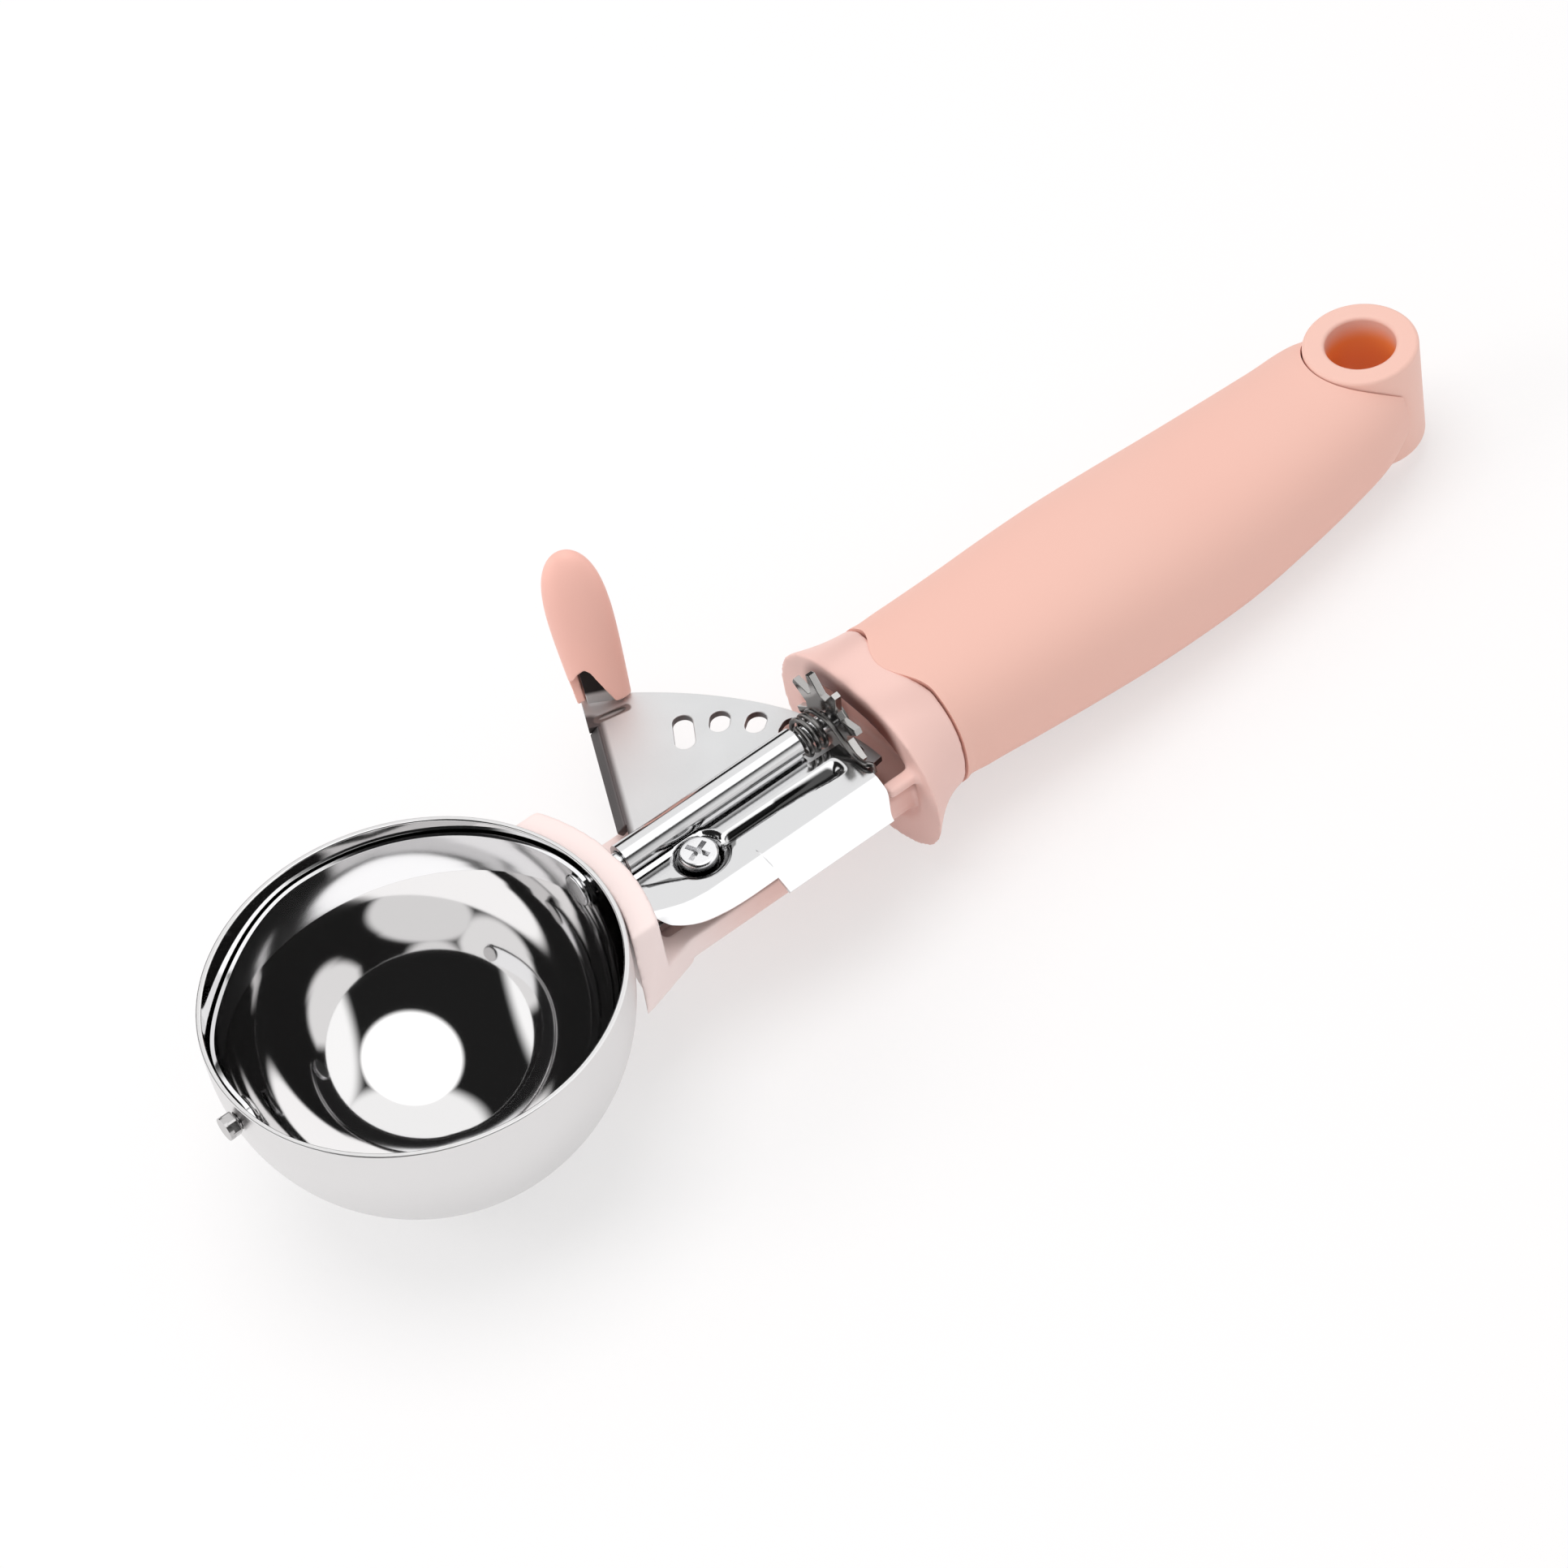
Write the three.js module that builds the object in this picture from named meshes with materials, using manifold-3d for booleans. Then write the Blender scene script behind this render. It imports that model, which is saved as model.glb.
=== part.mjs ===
// Ice cream scoop with a thumb lever: a steel bowl on a pink moulded handle. Pressing the pad swings a
// punched lever plate about one screw; its holes turn a star wheel on the scraper shaft, and the scraper
// blade sweeps the bowl from one wall to the other. A coil spring on the shaft brings everything back.
// Millimetres. Inside the scoop group the shaft is the x axis, the bowl's centre is the origin, +x runs to
// the handle and +y to the lever. The group is tilted so that bowl and handle lie on z = 0.

import * as THREE from 'three';
import { mergeVertices } from 'three/addons/utils/BufferGeometryUtils.js';
import Module from 'manifold-3d';

const wasm = await Module();
wasm.setup();

// Clearances between separate pieces
const GAP = 0.3;
const MARGIN = 1;

// Bowl
const BOWL_RADIUS = 30;
const BOWL_WALL = 0.8;
const RIM_HEIGHT = 3.7;
const FOOT_CUT = 0.15;

// Scraper blade, its shaft and its front pin
const BLADE_THICKNESS = 0.6;
const BLADE_WIDTH = 7.6;
const BLADE_END_WIDTH = 5.4;
const BLADE_SWELL_POWER = 0.7;
const BLADE_REST_ANGLE = THREE.MathUtils.degToRad(6);
const SHAFT_RADIUS = 1.5;
const PEEN_RADIUS = 2.5;
const PEEN_HEIGHT = 0.7;
const PIN_RADIUS = 1.1;
const PIN_HEX_RADIUS = 1.9;
const PIN_HEX_LENGTH = 2.9;

// Star wheel and the clip that keeps it on the shaft
const WHEEL_REACH = 28.1;
const WHEEL_THICKNESS = 1.2;
const WHEEL_TEETH = 8;
const WHEEL_TIP_RADIUS = 7.8;
const WHEEL_ROOT_RADIUS = 4.7;
const TOOTH_TIP_HALF = 0.45;
const TOOTH_ROOT_HALF = 1.25;
const CLIP_RADIUS = 3.1;
const CLIP_THICKNESS = 0.6;
const CLIP_MOUTH = 2.7;
const SHAFT_TAIL = 0.6;

// Lever plate, its pivot, drive holes and thumb tab
const PIVOT_SETBACK = 9.8;
const PIVOT_Y = -5.6;
const LEVER_TOP = -6.05;
const LEVER_THICKNESS = 1.2;
const LEVER_HUB_RADIUS = 5.6;
const LEVER_ELBOW_RADIUS = 14.6;
const LEVER_ELBOW_ANGLE = THREE.MathUtils.degToRad(108);
const LEVER_WEB = 0.77;
const LEVER_CORNER_RISE = 8.4;
const LEVER_CORNER_ANGLE = THREE.MathUtils.degToRad(79.1);
const TAB_EDGE_ANGLE = THREE.MathUtils.degToRad(69.2);
const TAB_EDGE_RISE = 6.2;
const LEVER_TAIL_ANGLE = THREE.MathUtils.degToRad(-0.5);
const HOLE_PITCH = THREE.MathUtils.degToRad(10.5);
const HOLE_COUNT = 6;
const HOLE_SHIFT = 0.38;
const HOLE_HALF_WIDTH = 1.75;
const HOLE_HALF_LENGTH = 2;
const END_SLOT_INWARD = 2.6;
const LIP_WIDTH = 2.2;
const LIP_CORNER_GAP = 6;
const LIP_SLOPE = THREE.MathUtils.degToRad(45);
const TAB_LENGTH = 11;
const TAB_WIDTH = 5;
const TAB_THICKNESS = 1.2;
const PAD_AXIS = new THREE.Vector3(0.135, 0.368, 0.92).normalize();
const PAD_START = 0.75;
const PAD_END = 24.2;
const PAD_HALF_WIDTH = 4.8;
const PAD_BASE_HALF_WIDTH = 3.8;
const PAD_HALF_THICKNESS = 2.6;
const PAD_WIDEST_SHARE = 0.45;
const PAD_TIP_POWER = 2.4;
const PAD_CROWDING = 1.6;
const PAD_TIP_SHARE = 0.006;

// Lever pivot: screw, stepped bush, washer and threaded insert
const SCREW_HEAD_RADIUS = 2.9;
const SCREW_HEAD_HEIGHT = 1.7;
const SCREW_RADIUS = 1.5;
const CROSS_WIDTH = 0.8;
const CROSS_LENGTH = 3.8;
const CROSS_DEPTH = 1;
const BUSH_RADIUS = 2.6;
const BUSH_SHOULDER_RADIUS = 4;
const WASHER_RADIUS = 4.6;
const WASHER_THICKNESS = 0.5;
const INSERT_WALL = 0.6;

// Stamped steel frame with the rolled sleeve that carries the shaft
const FRAME_SHEET = 1;
const FRAME_TOP = -1.5;
const SLEEVE_RADIUS = 2.4;
const SLEEVE_CLEARANCE = 0.7;
const WHEEL_CLEARANCE = 0.7;
const FLANK_Y = -17.3;
const FLANK_RUN = 5.4;
const FLANK_DROP = 4.1;
const NOTCH_SETBACK = 16.2;
const FRAME_FRONT_EDGE_Y = -14.2;
const FRAME_TIP_Y = -9.4;
const DISH_RADIUS = 3.2;
const DISH_DEPTH = 1.2;
const CHANNEL_Y = -5.6;
const CHANNEL_HALF_WIDTH = 1.3;
const CHANNEL_END_WEB = 2.7;

// Return spring wound on the shaft between sleeve and star wheel
const SPRING_WIRE = 0.8;
const SPRING_COIL_RADIUS = 2.7;
const SPRING_TURNS = 3;
const SPRING_PITCH = 1.27;
const SPRING_CLEARANCE = 0.89;
const SPRING_LEG_Y = -9.6;
const SPRING_STEPS_PER_TURN = 8;
const SPRING_SIDES = 5;

// Moulded handle core: collar behind the bowl, open neck, flared ferrule, bar and hanging eye
const COLLAR_THICKNESS = 4.2;
const COLLAR_TOP = 2.2;
const COLLAR_TOP_HALF_WIDTH = 14.3;
const COLLAR_TIP_HALF_WIDTH = 17.2;
const COLLAR_TIP_Z = -10.5;
const NECK_HALF_WIDTH = 12.3;
const NECK_WALL = 2.9;
const NECK_WALL_TOP = -7.85;
const NECK_LEVER_SIDE_TOP = -9.4;
const NECK_FLOOR = -12.2;
const NECK_BOTTOM = -14.6;
const NECK_BEND = 4.6;
const BOSS_RADIUS = 4.3;
const FERRULE_SETBACK = 3.9;
const FERRULE_HALF_WIDTH = 18.2;
const FERRULE_HALF_HEIGHT = 13.5;
const FERRULE_DROP = 9.6;
const FERRULE_WALL = 2.6;
const FERRULE_FLARE = 9;
const FERRULE_BACK_WALL = 0.9;
const LUG_LENGTH = 4.9;
const LUG_WIDTH = 2.4;
const LUG_HEIGHT = 1.7;
const LUG_INSET = 4.1;
const LUG_DROP = 2;

// Soft grip sleeve over the core, with a wavy front seam
const SEAM_SETBACK = 5.4;
const SEAM_WAVE = 3.2;
const SEAM_HALF_SPAN = 9;
const GRIP_WALL = 2.6;
const GRIP_NECK_SETBACK = 11.7;
const GRIP_NECK_HALF_WIDTH = 14.05;
const GRIP_NECK_DROP = 7.1;
const GRIP_BELLY_REACH = 38;
const GRIP_BELLY_HALF_WIDTH = 15.3;
const GRIP_BELLY_DROP = 8.9;
const GRIP_REST_REACH = 52;
const GRIP_REST_HALF_WIDTH = 14.8;
const GRIP_REST_DROP = 9.2;
const GRIP_TAIL_REACH = 80;
const GRIP_TAIL_HALF_WIDTH = 12;
const GRIP_TAIL_DROP = 6.6;
const GRIP_HEIGHT_RATIO = 0.8;
const SECTION_POWER = 2.3;
const GRIP_END_REACH = 87;
const EYE_REACH = 84.9;
const EYE_HOLE_RADIUS = 5.25;
const EYE_HALF_WIDTH = 8.6;
const EYE_TOP = 3.2;
const EYE_BOTTOM = -14.8;

// Bowl tang and the two rivets that hold it on the neck floor
const TANG_THICKNESS = 1.2;
const TANG_HALF_WIDTH = 5;
const TANG_TOP = -6;
const TANG_TAIL = 2.3;
const RIVET_SETBACK = 2.4;
const RIVET_SPREAD = 2.9;
const RIVET_HEAD_RADIUS = 1.8;
const RIVET_HEAD_HEIGHT = 1;
const RIVET_RADIUS = 1;
const RIVET_DEPTH = 1.4;

// Finishes
const steelBright = { color: 0xd9dadc, roughness: 0.16, metalness: 1 };
const steelSatin = { color: 0xc9cacc, roughness: 0.32, metalness: 1 };
const springSteel = { color: 0x6d6a66, roughness: 0.38, metalness: 1 };
const brassTurned = { color: 0xc9a552, roughness: 0.35, metalness: 1 };
const corePink = { color: 0xf5cdc4, roughness: 0.45, metalness: 0 };
const gripPink = { color: 0xf2c2b4, roughness: 0.6, metalness: 0 };
const padPink = { color: 0xeba896, roughness: 0.5, metalness: 0 };
const washerWhite = { color: 0xe9e6df, roughness: 0.55, metalness: 0 };

// Sizes that follow from the ones above
const bowlInside = BOWL_RADIUS - BOWL_WALL;
const bladeOuter = bowlInside - GAP;
const bladeInner = bladeOuter - BLADE_THICKNESS;
const shaftBore = SHAFT_RADIUS + GAP;
const leverBottom = LEVER_TOP - LEVER_THICKNESS;
const leverMiddle = LEVER_TOP - LEVER_THICKNESS / 2;
const collarOuter = BOWL_RADIUS + GAP + COLLAR_THICKNESS;
const pivotX = collarOuter + PIVOT_SETBACK;
const wheelX = pivotX + WHEEL_REACH;
const wheelFront = wheelX - WHEEL_THICKNESS / 2;
const wheelRear = wheelX + WHEEL_THICKNESS / 2;
const meshAngle = Math.atan2(-PIVOT_Y, WHEEL_REACH);
const holeCircle = Math.hypot(PIVOT_Y, WHEEL_REACH) + HOLE_SHIFT;
const leverOuter = holeCircle + HOLE_HALF_LENGTH + LEVER_WEB;
const leverCorner = leverOuter + LEVER_CORNER_RISE;
const tabEdge = leverOuter + TAB_EDGE_RISE;
const frameRear = wheelFront - WHEEL_CLEARANCE;
const channelEnd = frameRear - CHANNEL_END_WEB;
const springLegX = wheelFront - SPRING_CLEARANCE;
const springRear = springLegX - SPRING_WIRE / 2;
const springStart = springRear - SPRING_TURNS * SPRING_PITCH;
const sleeveStart = collarOuter + SLEEVE_CLEARANCE;
const sleeveEnd = springStart - SLEEVE_CLEARANCE;
const frameFront = sleeveStart - DISH_RADIUS;
const notchX = collarOuter + NOTCH_SETBACK;
const ferruleFront = wheelX + FERRULE_SETBACK;
const seamX = ferruleFront + SEAM_SETBACK;
const gripNeckX = ferruleFront + GRIP_NECK_SETBACK;
const gripBellyX = gripNeckX + GRIP_BELLY_REACH;
const gripRestX = gripNeckX + GRIP_REST_REACH;
const gripTailX = gripNeckX + GRIP_TAIL_REACH;
const gripEndX = gripNeckX + GRIP_END_REACH;
const eyeX = gripNeckX + EYE_REACH;
const rivetX = collarOuter + RIVET_SETBACK;
const tangEnd = rivetX + TANG_TAIL;
const dishFloor = FRAME_TOP - DISH_DEPTH;
const dishUnderside = dishFloor - FRAME_SHEET;
const washerTop = leverBottom - GAP;
const bossTop = washerTop - WASHER_THICKNESS - GAP;
const insertInner = SCREW_RADIUS + GAP;
const insertOuter = insertInner + INSERT_WALL;
const flankBottom = FRAME_TOP - FLANK_DROP;
const flankCreaseY = FLANK_Y + FLANK_RUN;
const flankInsideY = flankCreaseY + (FRAME_SHEET * (Math.hypot(FLANK_RUN, FLANK_DROP) - FLANK_RUN)) / FLANK_DROP;
const flankFootY = flankInsideY - ((FLANK_DROP - FRAME_SHEET) * FLANK_RUN) / FLANK_DROP;
const tangInner = BOWL_RADIUS + GAP;
const tangOuter = tangInner + TANG_THICKNESS;
const mouthEnd = seamX - FERRULE_BACK_WALL;
const strapBottom = NECK_FLOOR + GAP;
const strapTop = strapBottom + TANG_THICKNESS;

// Solid helpers: geometry to solid, solid to mesh, and the few plain shapes that are cut and joined
function solid(geometry) {
  const bare = geometry.index ? geometry.clone() : geometry;
  bare.deleteAttribute('normal');
  bare.deleteAttribute('uv');
  const merged = mergeVertices(bare, 1e-4);
  const vertProperties = new Float32Array(merged.attributes.position.array);
  const triVerts = new Uint32Array(merged.index.array);
  const mesh = new wasm.Mesh({ numProp: 3, vertProperties, triVerts });
  return new wasm.Manifold(mesh);
}

function geometryOf(body) {
  const mesh = body.getMesh();
  const geometry = new THREE.BufferGeometry();
  geometry.setAttribute('position', new THREE.BufferAttribute(new Float32Array(mesh.vertProperties), 3));
  geometry.setIndex(new THREE.BufferAttribute(new Uint32Array(mesh.triVerts), 1));
  geometry.computeVertexNormals();
  return geometry;
}

function block(x0, x1, y0, y1, z0, z1) {
  const geometry = new THREE.BoxGeometry(x1 - x0, y1 - y0, z1 - z0);
  geometry.translate((x0 + x1) / 2, (y0 + y1) / 2, (z0 + z1) / 2);
  return solid(geometry);
}

function rodAlongX(radius, x0, x1, y = 0, z = 0, sides = 20) {
  const geometry = new THREE.CylinderGeometry(radius, radius, x1 - x0, sides);
  geometry.rotateZ(-Math.PI / 2);
  geometry.translate((x0 + x1) / 2, y, z);
  return solid(geometry);
}

function rodAlongZ(radius, z0, z1, x = 0, y = 0, sides = 24) {
  const geometry = new THREE.CylinderGeometry(radius, radius, z1 - z0, sides);
  geometry.rotateX(Math.PI / 2);
  geometry.translate(x, y, (z0 + z1) / 2);
  return solid(geometry);
}

function slab(shape, z0, z1, curveSegments = 12) {
  const geometry = new THREE.ExtrudeGeometry(shape, { depth: z1 - z0, bevelEnabled: false, curveSegments });
  geometry.translate(0, 0, z0);
  return solid(geometry);
}

// A profile drawn in (y, z) and drawn out along x
function barAlongX(shape, x0, x1, curveSegments = 12) {
  const geometry = new THREE.ExtrudeGeometry(shape, { depth: x1 - x0, bevelEnabled: false, curveSegments });
  const sideways = new THREE.Matrix4().makeBasis(
    new THREE.Vector3(0, 1, 0),
    new THREE.Vector3(0, 0, 1),
    new THREE.Vector3(1, 0, 0),
  );
  geometry.applyMatrix4(sideways);
  geometry.translate(x0, 0, 0);
  return solid(geometry);
}

function turned(points, sides) {
  const geometry = new THREE.LatheGeometry(points, sides);
  geometry.rotateX(Math.PI / 2);
  return solid(geometry);
}

// Skins a row of closed rings with equal point counts and closes both ends
function loft(rings) {
  const count = rings[0].length;
  const positions = [];
  const triangles = [];
  for (const ring of rings) {
    for (const point of ring) positions.push(point.x, point.y, point.z);
  }
  for (let r = 0; r + 1 < rings.length; r += 1) {
    for (let i = 0; i < count; i += 1) {
      const next = (i + 1) % count;
      const a = r * count + i;
      const b = r * count + next;
      const c = a + count;
      const d = b + count;
      triangles.push(a, b, d, a, d, c);
    }
  }
  const last = (rings.length - 1) * count;
  for (let i = 1; i + 1 < count; i += 1) {
    triangles.push(0, i + 1, i);
    triangles.push(last, last + i, last + i + 1);
  }
  const geometry = new THREE.BufferGeometry();
  geometry.setAttribute('position', new THREE.Float32BufferAttribute(positions, 3));
  geometry.setIndex(triangles);
  return geometry;
}

// A rounded handle section standing across the x axis
function sectionRing(x, halfWidth, halfHeight, drop, sides) {
  const ring = [];
  for (let i = 0; i < sides; i += 1) {
    const turn = (i / sides) * Math.PI * 2;
    const cosine = Math.cos(turn);
    const sine = Math.sin(turn);
    const y = halfWidth * Math.sign(cosine) * Math.abs(cosine) ** (2 / SECTION_POWER);
    const z = halfHeight * Math.sign(sine) * Math.abs(sine) ** (2 / SECTION_POWER) - drop;
    ring.push(new THREE.Vector3(x, y, z));
  }
  return ring;
}

// Handle outline: ferrule mouth, waist, belly, resting place and tail on one smooth curve
const handleCurve = new THREE.CatmullRomCurve3([
  new THREE.Vector3(gripNeckX, GRIP_NECK_HALF_WIDTH, GRIP_NECK_DROP),
  new THREE.Vector3(gripBellyX, GRIP_BELLY_HALF_WIDTH, GRIP_BELLY_DROP),
  new THREE.Vector3(gripRestX, GRIP_REST_HALF_WIDTH, GRIP_REST_DROP),
  new THREE.Vector3(gripTailX, GRIP_TAIL_HALF_WIDTH, GRIP_TAIL_DROP),
]);
const HANDLE_STEPS = 10;
const HANDLE_SIDES = 32;

function handleRings(inset) {
  const rings = [];
  for (let i = 0; i <= HANDLE_STEPS; i += 1) {
    const point = handleCurve.getPoint(i / HANDLE_STEPS);
    const halfHeight = point.y * GRIP_HEIGHT_RATIO;
    rings.push(sectionRing(point.x, point.y - inset, halfHeight - inset, point.z, HANDLE_SIDES));
  }
  return rings;
}

// The tail closes from the last grip section to the eye's own width and height
function tailRing(inset) {
  const halfHeight = (EYE_TOP - EYE_BOTTOM) / 2;
  const drop = -(EYE_TOP + EYE_BOTTOM) / 2;
  return sectionRing(gripEndX, EYE_HALF_WIDTH - inset, halfHeight - inset, drop, HANDLE_SIDES);
}

// The flare runs from the ferrule mouth to the waist, closing fast at first and then easing off
function flareRings(inset) {
  const steps = 6;
  const waistHeight = GRIP_NECK_HALF_WIDTH * GRIP_HEIGHT_RATIO;
  const rings = [];
  for (let i = 0; i < steps; i += 1) {
    const open = (1 - i / steps) ** 2;
    const x = ferruleFront + (FERRULE_FLARE * i) / steps;
    const halfWidth = GRIP_NECK_HALF_WIDTH + (FERRULE_HALF_WIDTH - GRIP_NECK_HALF_WIDTH) * open;
    const halfHeight = waistHeight + (FERRULE_HALF_HEIGHT - waistHeight) * open;
    const drop = GRIP_NECK_DROP + (FERRULE_DROP - GRIP_NECK_DROP) * open;
    rings.push(sectionRing(x, halfWidth - inset, halfHeight - inset, drop, HANDLE_SIDES));
  }
  return rings;
}

// The whole handle form, drawn in by an inset
function handleForm(inset) {
  return solid(loft([...flareRings(inset), ...handleRings(inset), tailRing(inset)]));
}

// The ferrule's open mouth
function mouthPocket() {
  const halfWidth = FERRULE_HALF_WIDTH - FERRULE_WALL;
  const halfHeight = FERRULE_HALF_HEIGHT - FERRULE_WALL;
  const entry = sectionRing(ferruleFront - MARGIN, halfWidth, halfHeight, FERRULE_DROP, HANDLE_SIDES);
  const far = BOWL_RADIUS * 2;
  const depth = block(0, mouthEnd, -far, far, -far, far);
  return solid(loft([entry, ...flareRings(FERRULE_WALL)])).intersect(depth);
}

// Lying on a table: the tilt at which bowl and grip touch the floor together
const restDepth = GRIP_REST_DROP + GRIP_REST_HALF_WIDTH * GRIP_HEIGHT_RATIO - FOOT_CUT;
const footDepth = BOWL_RADIUS - FOOT_CUT;
const tilt = Math.asin(footDepth / Math.hypot(gripRestX, restDepth)) - Math.atan2(restDepth, gripRestX);

function belowFloor() {
  const reach = gripEndX * 3;
  const geometry = new THREE.BoxGeometry(reach, reach, BOWL_RADIUS);
  geometry.translate(0, 0, -footDepth - BOWL_RADIUS / 2);
  geometry.rotateY(-tilt);
  return solid(geometry);
}

// Everything on the handle side of the seam, in plan a soft wave across the handle
function behindSeam(shift) {
  const halfSpan = FERRULE_HALF_WIDTH + MARGIN;
  const steps = 24;
  const outline = new THREE.Shape();
  for (let i = 0; i <= steps; i += 1) {
    const y = halfSpan * ((2 * i) / steps - 1);
    const wave = (1 - Math.cos(Math.PI * Math.min(1, Math.abs(y) / SEAM_HALF_SPAN))) / 2;
    const x = seamX + SEAM_WAVE * wave + shift;
    if (i === 0) outline.moveTo(x, y);
    else outline.lineTo(x, y);
  }
  outline.lineTo(gripEndX * 2, halfSpan);
  outline.lineTo(gripEndX * 2, -halfSpan);
  return slab(outline, -BOWL_RADIUS * 2, BOWL_RADIUS * 2);
}

function makeBowl() {
  const profile = [];
  const steps = 12;
  for (let i = 0; i <= steps; i += 1) {
    const angle = (i / steps) * (Math.PI / 2);
    profile.push(new THREE.Vector2(Math.sin(angle) * BOWL_RADIUS, -Math.cos(angle) * BOWL_RADIUS));
  }
  profile.push(new THREE.Vector2(BOWL_RADIUS, RIM_HEIGHT));
  profile.push(new THREE.Vector2(bowlInside, RIM_HEIGHT));
  for (let i = steps; i >= 0; i -= 1) {
    const angle = (i / steps) * (Math.PI / 2);
    profile.push(new THREE.Vector2(Math.sin(angle) * bowlInside, -Math.cos(angle) * bowlInside));
  }
  profile[0].x = 0;
  profile[profile.length - 1].x = 0;
  return turned(profile, 56)
    .subtract(belowFloor())
    .subtract(rodAlongX(shaftBore, bowlInside - MARGIN, BOWL_RADIUS + MARGIN))
    .subtract(rodAlongX(PIN_RADIUS + GAP, -BOWL_RADIUS - MARGIN, -bowlInside + MARGIN));
}

// A thin band on the bowl's inside, half a turn from the front pin to the shaft, lying near the +y wall
function makeBlade() {
  const steps = 36;
  const across = 4;
  const along = new THREE.Vector3();
  const side = new THREE.Vector3(0, Math.cos(BLADE_REST_ANGLE), -Math.sin(BLADE_REST_ANGLE));
  const normal = new THREE.Vector3(0, Math.sin(BLADE_REST_ANGLE), Math.cos(BLADE_REST_ANGLE));
  const overrun = BLADE_END_WIDTH / 2 / bladeOuter;
  const rings = [];
  for (let i = 0; i <= steps; i += 1) {
    const turn = -overrun + (i / steps) * (Math.PI + overrun * 2);
    const swell = Math.sin(Math.min(Math.max(turn, 0), Math.PI)) ** BLADE_SWELL_POWER;
    const halfAngle = (BLADE_END_WIDTH + (BLADE_WIDTH - BLADE_END_WIDTH) * swell) / 2 / bladeOuter;
    along.set(-Math.cos(turn), 0, 0).addScaledVector(side, Math.sin(turn));
    const outer = [];
    const inner = [];
    for (let j = 0; j <= across; j += 1) {
      const lean = halfAngle * ((2 * j) / across - 1);
      const direction = along.clone().multiplyScalar(Math.cos(lean)).addScaledVector(normal, Math.sin(lean));
      outer.push(direction.clone().multiplyScalar(bladeOuter));
      inner.unshift(direction.clone().multiplyScalar(bladeInner));
    }
    rings.push([...outer, ...inner]);
  }
  return solid(loft(rings))
    .subtract(rodAlongX(shaftBore, bladeInner - MARGIN, bladeOuter + MARGIN))
    .subtract(rodAlongX(PIN_RADIUS + GAP, -bladeOuter - MARGIN, -bladeInner + MARGIN));
}

function makeShaft() {
  const headEnd = bladeInner - GAP;
  const tail = wheelRear + GAP + CLIP_THICKNESS + SHAFT_TAIL;
  return rodAlongX(SHAFT_RADIUS, headEnd - PEEN_HEIGHT / 2, tail)
    .add(rodAlongX(PEEN_RADIUS, headEnd - PEEN_HEIGHT, headEnd));
}

function makePin() {
  const hexRoot = -BOWL_RADIUS - GAP;
  const headEnd = -bladeInner + GAP;
  return rodAlongX(PIN_RADIUS, hexRoot - PIN_HEX_LENGTH / 2, headEnd + PEEN_HEIGHT / 2, 0, 0, 16)
    .add(rodAlongX(PIN_HEX_RADIUS, hexRoot - PIN_HEX_LENGTH, hexRoot, 0, 0, 6))
    .add(rodAlongX(PEEN_RADIUS, headEnd, headEnd + PEEN_HEIGHT, 0, 0, 16));
}

// Eight pointed teeth cut from sheet; at rest two of them straddle the lowest point
function makeWheel() {
  const outline = new THREE.Shape();
  const pitch = (Math.PI * 2) / WHEEL_TEETH;
  const corners = [];
  for (let tooth = 0; tooth < WHEEL_TEETH; tooth += 1) {
    const middle = -Math.PI / 2 + (tooth + 0.5) * pitch;
    for (const [radius, half] of [
      [WHEEL_ROOT_RADIUS, -TOOTH_ROOT_HALF],
      [WHEEL_TIP_RADIUS, -TOOTH_TIP_HALF],
      [WHEEL_TIP_RADIUS, TOOTH_TIP_HALF],
      [WHEEL_ROOT_RADIUS, TOOTH_ROOT_HALF],
    ]) {
      const angle = middle + Math.asin(half / radius);
      corners.push(new THREE.Vector2(Math.cos(angle) * radius, Math.sin(angle) * radius));
    }
  }
  outline.setFromPoints(corners);
  const bore = rodAlongX(shaftBore, wheelFront - MARGIN, wheelRear + MARGIN);
  return barAlongX(outline, wheelFront, wheelRear).subtract(bore);
}

function makeClip() {
  const front = wheelRear + GAP;
  const rear = front + CLIP_THICKNESS;
  const mouth = CLIP_MOUTH / 2;
  return rodAlongX(CLIP_RADIUS, front, rear)
    .subtract(rodAlongX(shaftBore, front - MARGIN, rear + MARGIN))
    .subtract(block(front - MARGIN, rear + MARGIN, -mouth, mouth, 0, CLIP_RADIUS + MARGIN));
}

function leverPoint(radius, angle) {
  return new THREE.Vector2(pivotX + radius * Math.cos(angle), PIVOT_Y + radius * Math.sin(angle));
}

// An oblong hole lying along the lever's radius
function driveHole(angle, inward) {
  const reach = HOLE_HALF_LENGTH - HOLE_HALF_WIDTH;
  const outer = leverPoint(holeCircle + reach, angle);
  const inner = leverPoint(holeCircle - reach - inward, angle);
  const hole = new THREE.Shape();
  hole.absarc(outer.x, outer.y, HOLE_HALF_WIDTH, angle - Math.PI / 2, angle + Math.PI / 2);
  hole.absarc(inner.x, inner.y, HOLE_HALF_WIDTH, angle + Math.PI / 2, angle + Math.PI * 1.5);
  return slab(hole, leverBottom - MARGIN, LEVER_TOP + MARGIN, 8);
}

const cornerPoint = leverPoint(leverCorner, LEVER_CORNER_ANGLE);
const tabEdgePoint = leverPoint(tabEdge, TAB_EDGE_ANGLE);
const elbowPoint = leverPoint(LEVER_ELBOW_RADIUS, LEVER_ELBOW_ANGLE);

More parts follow.
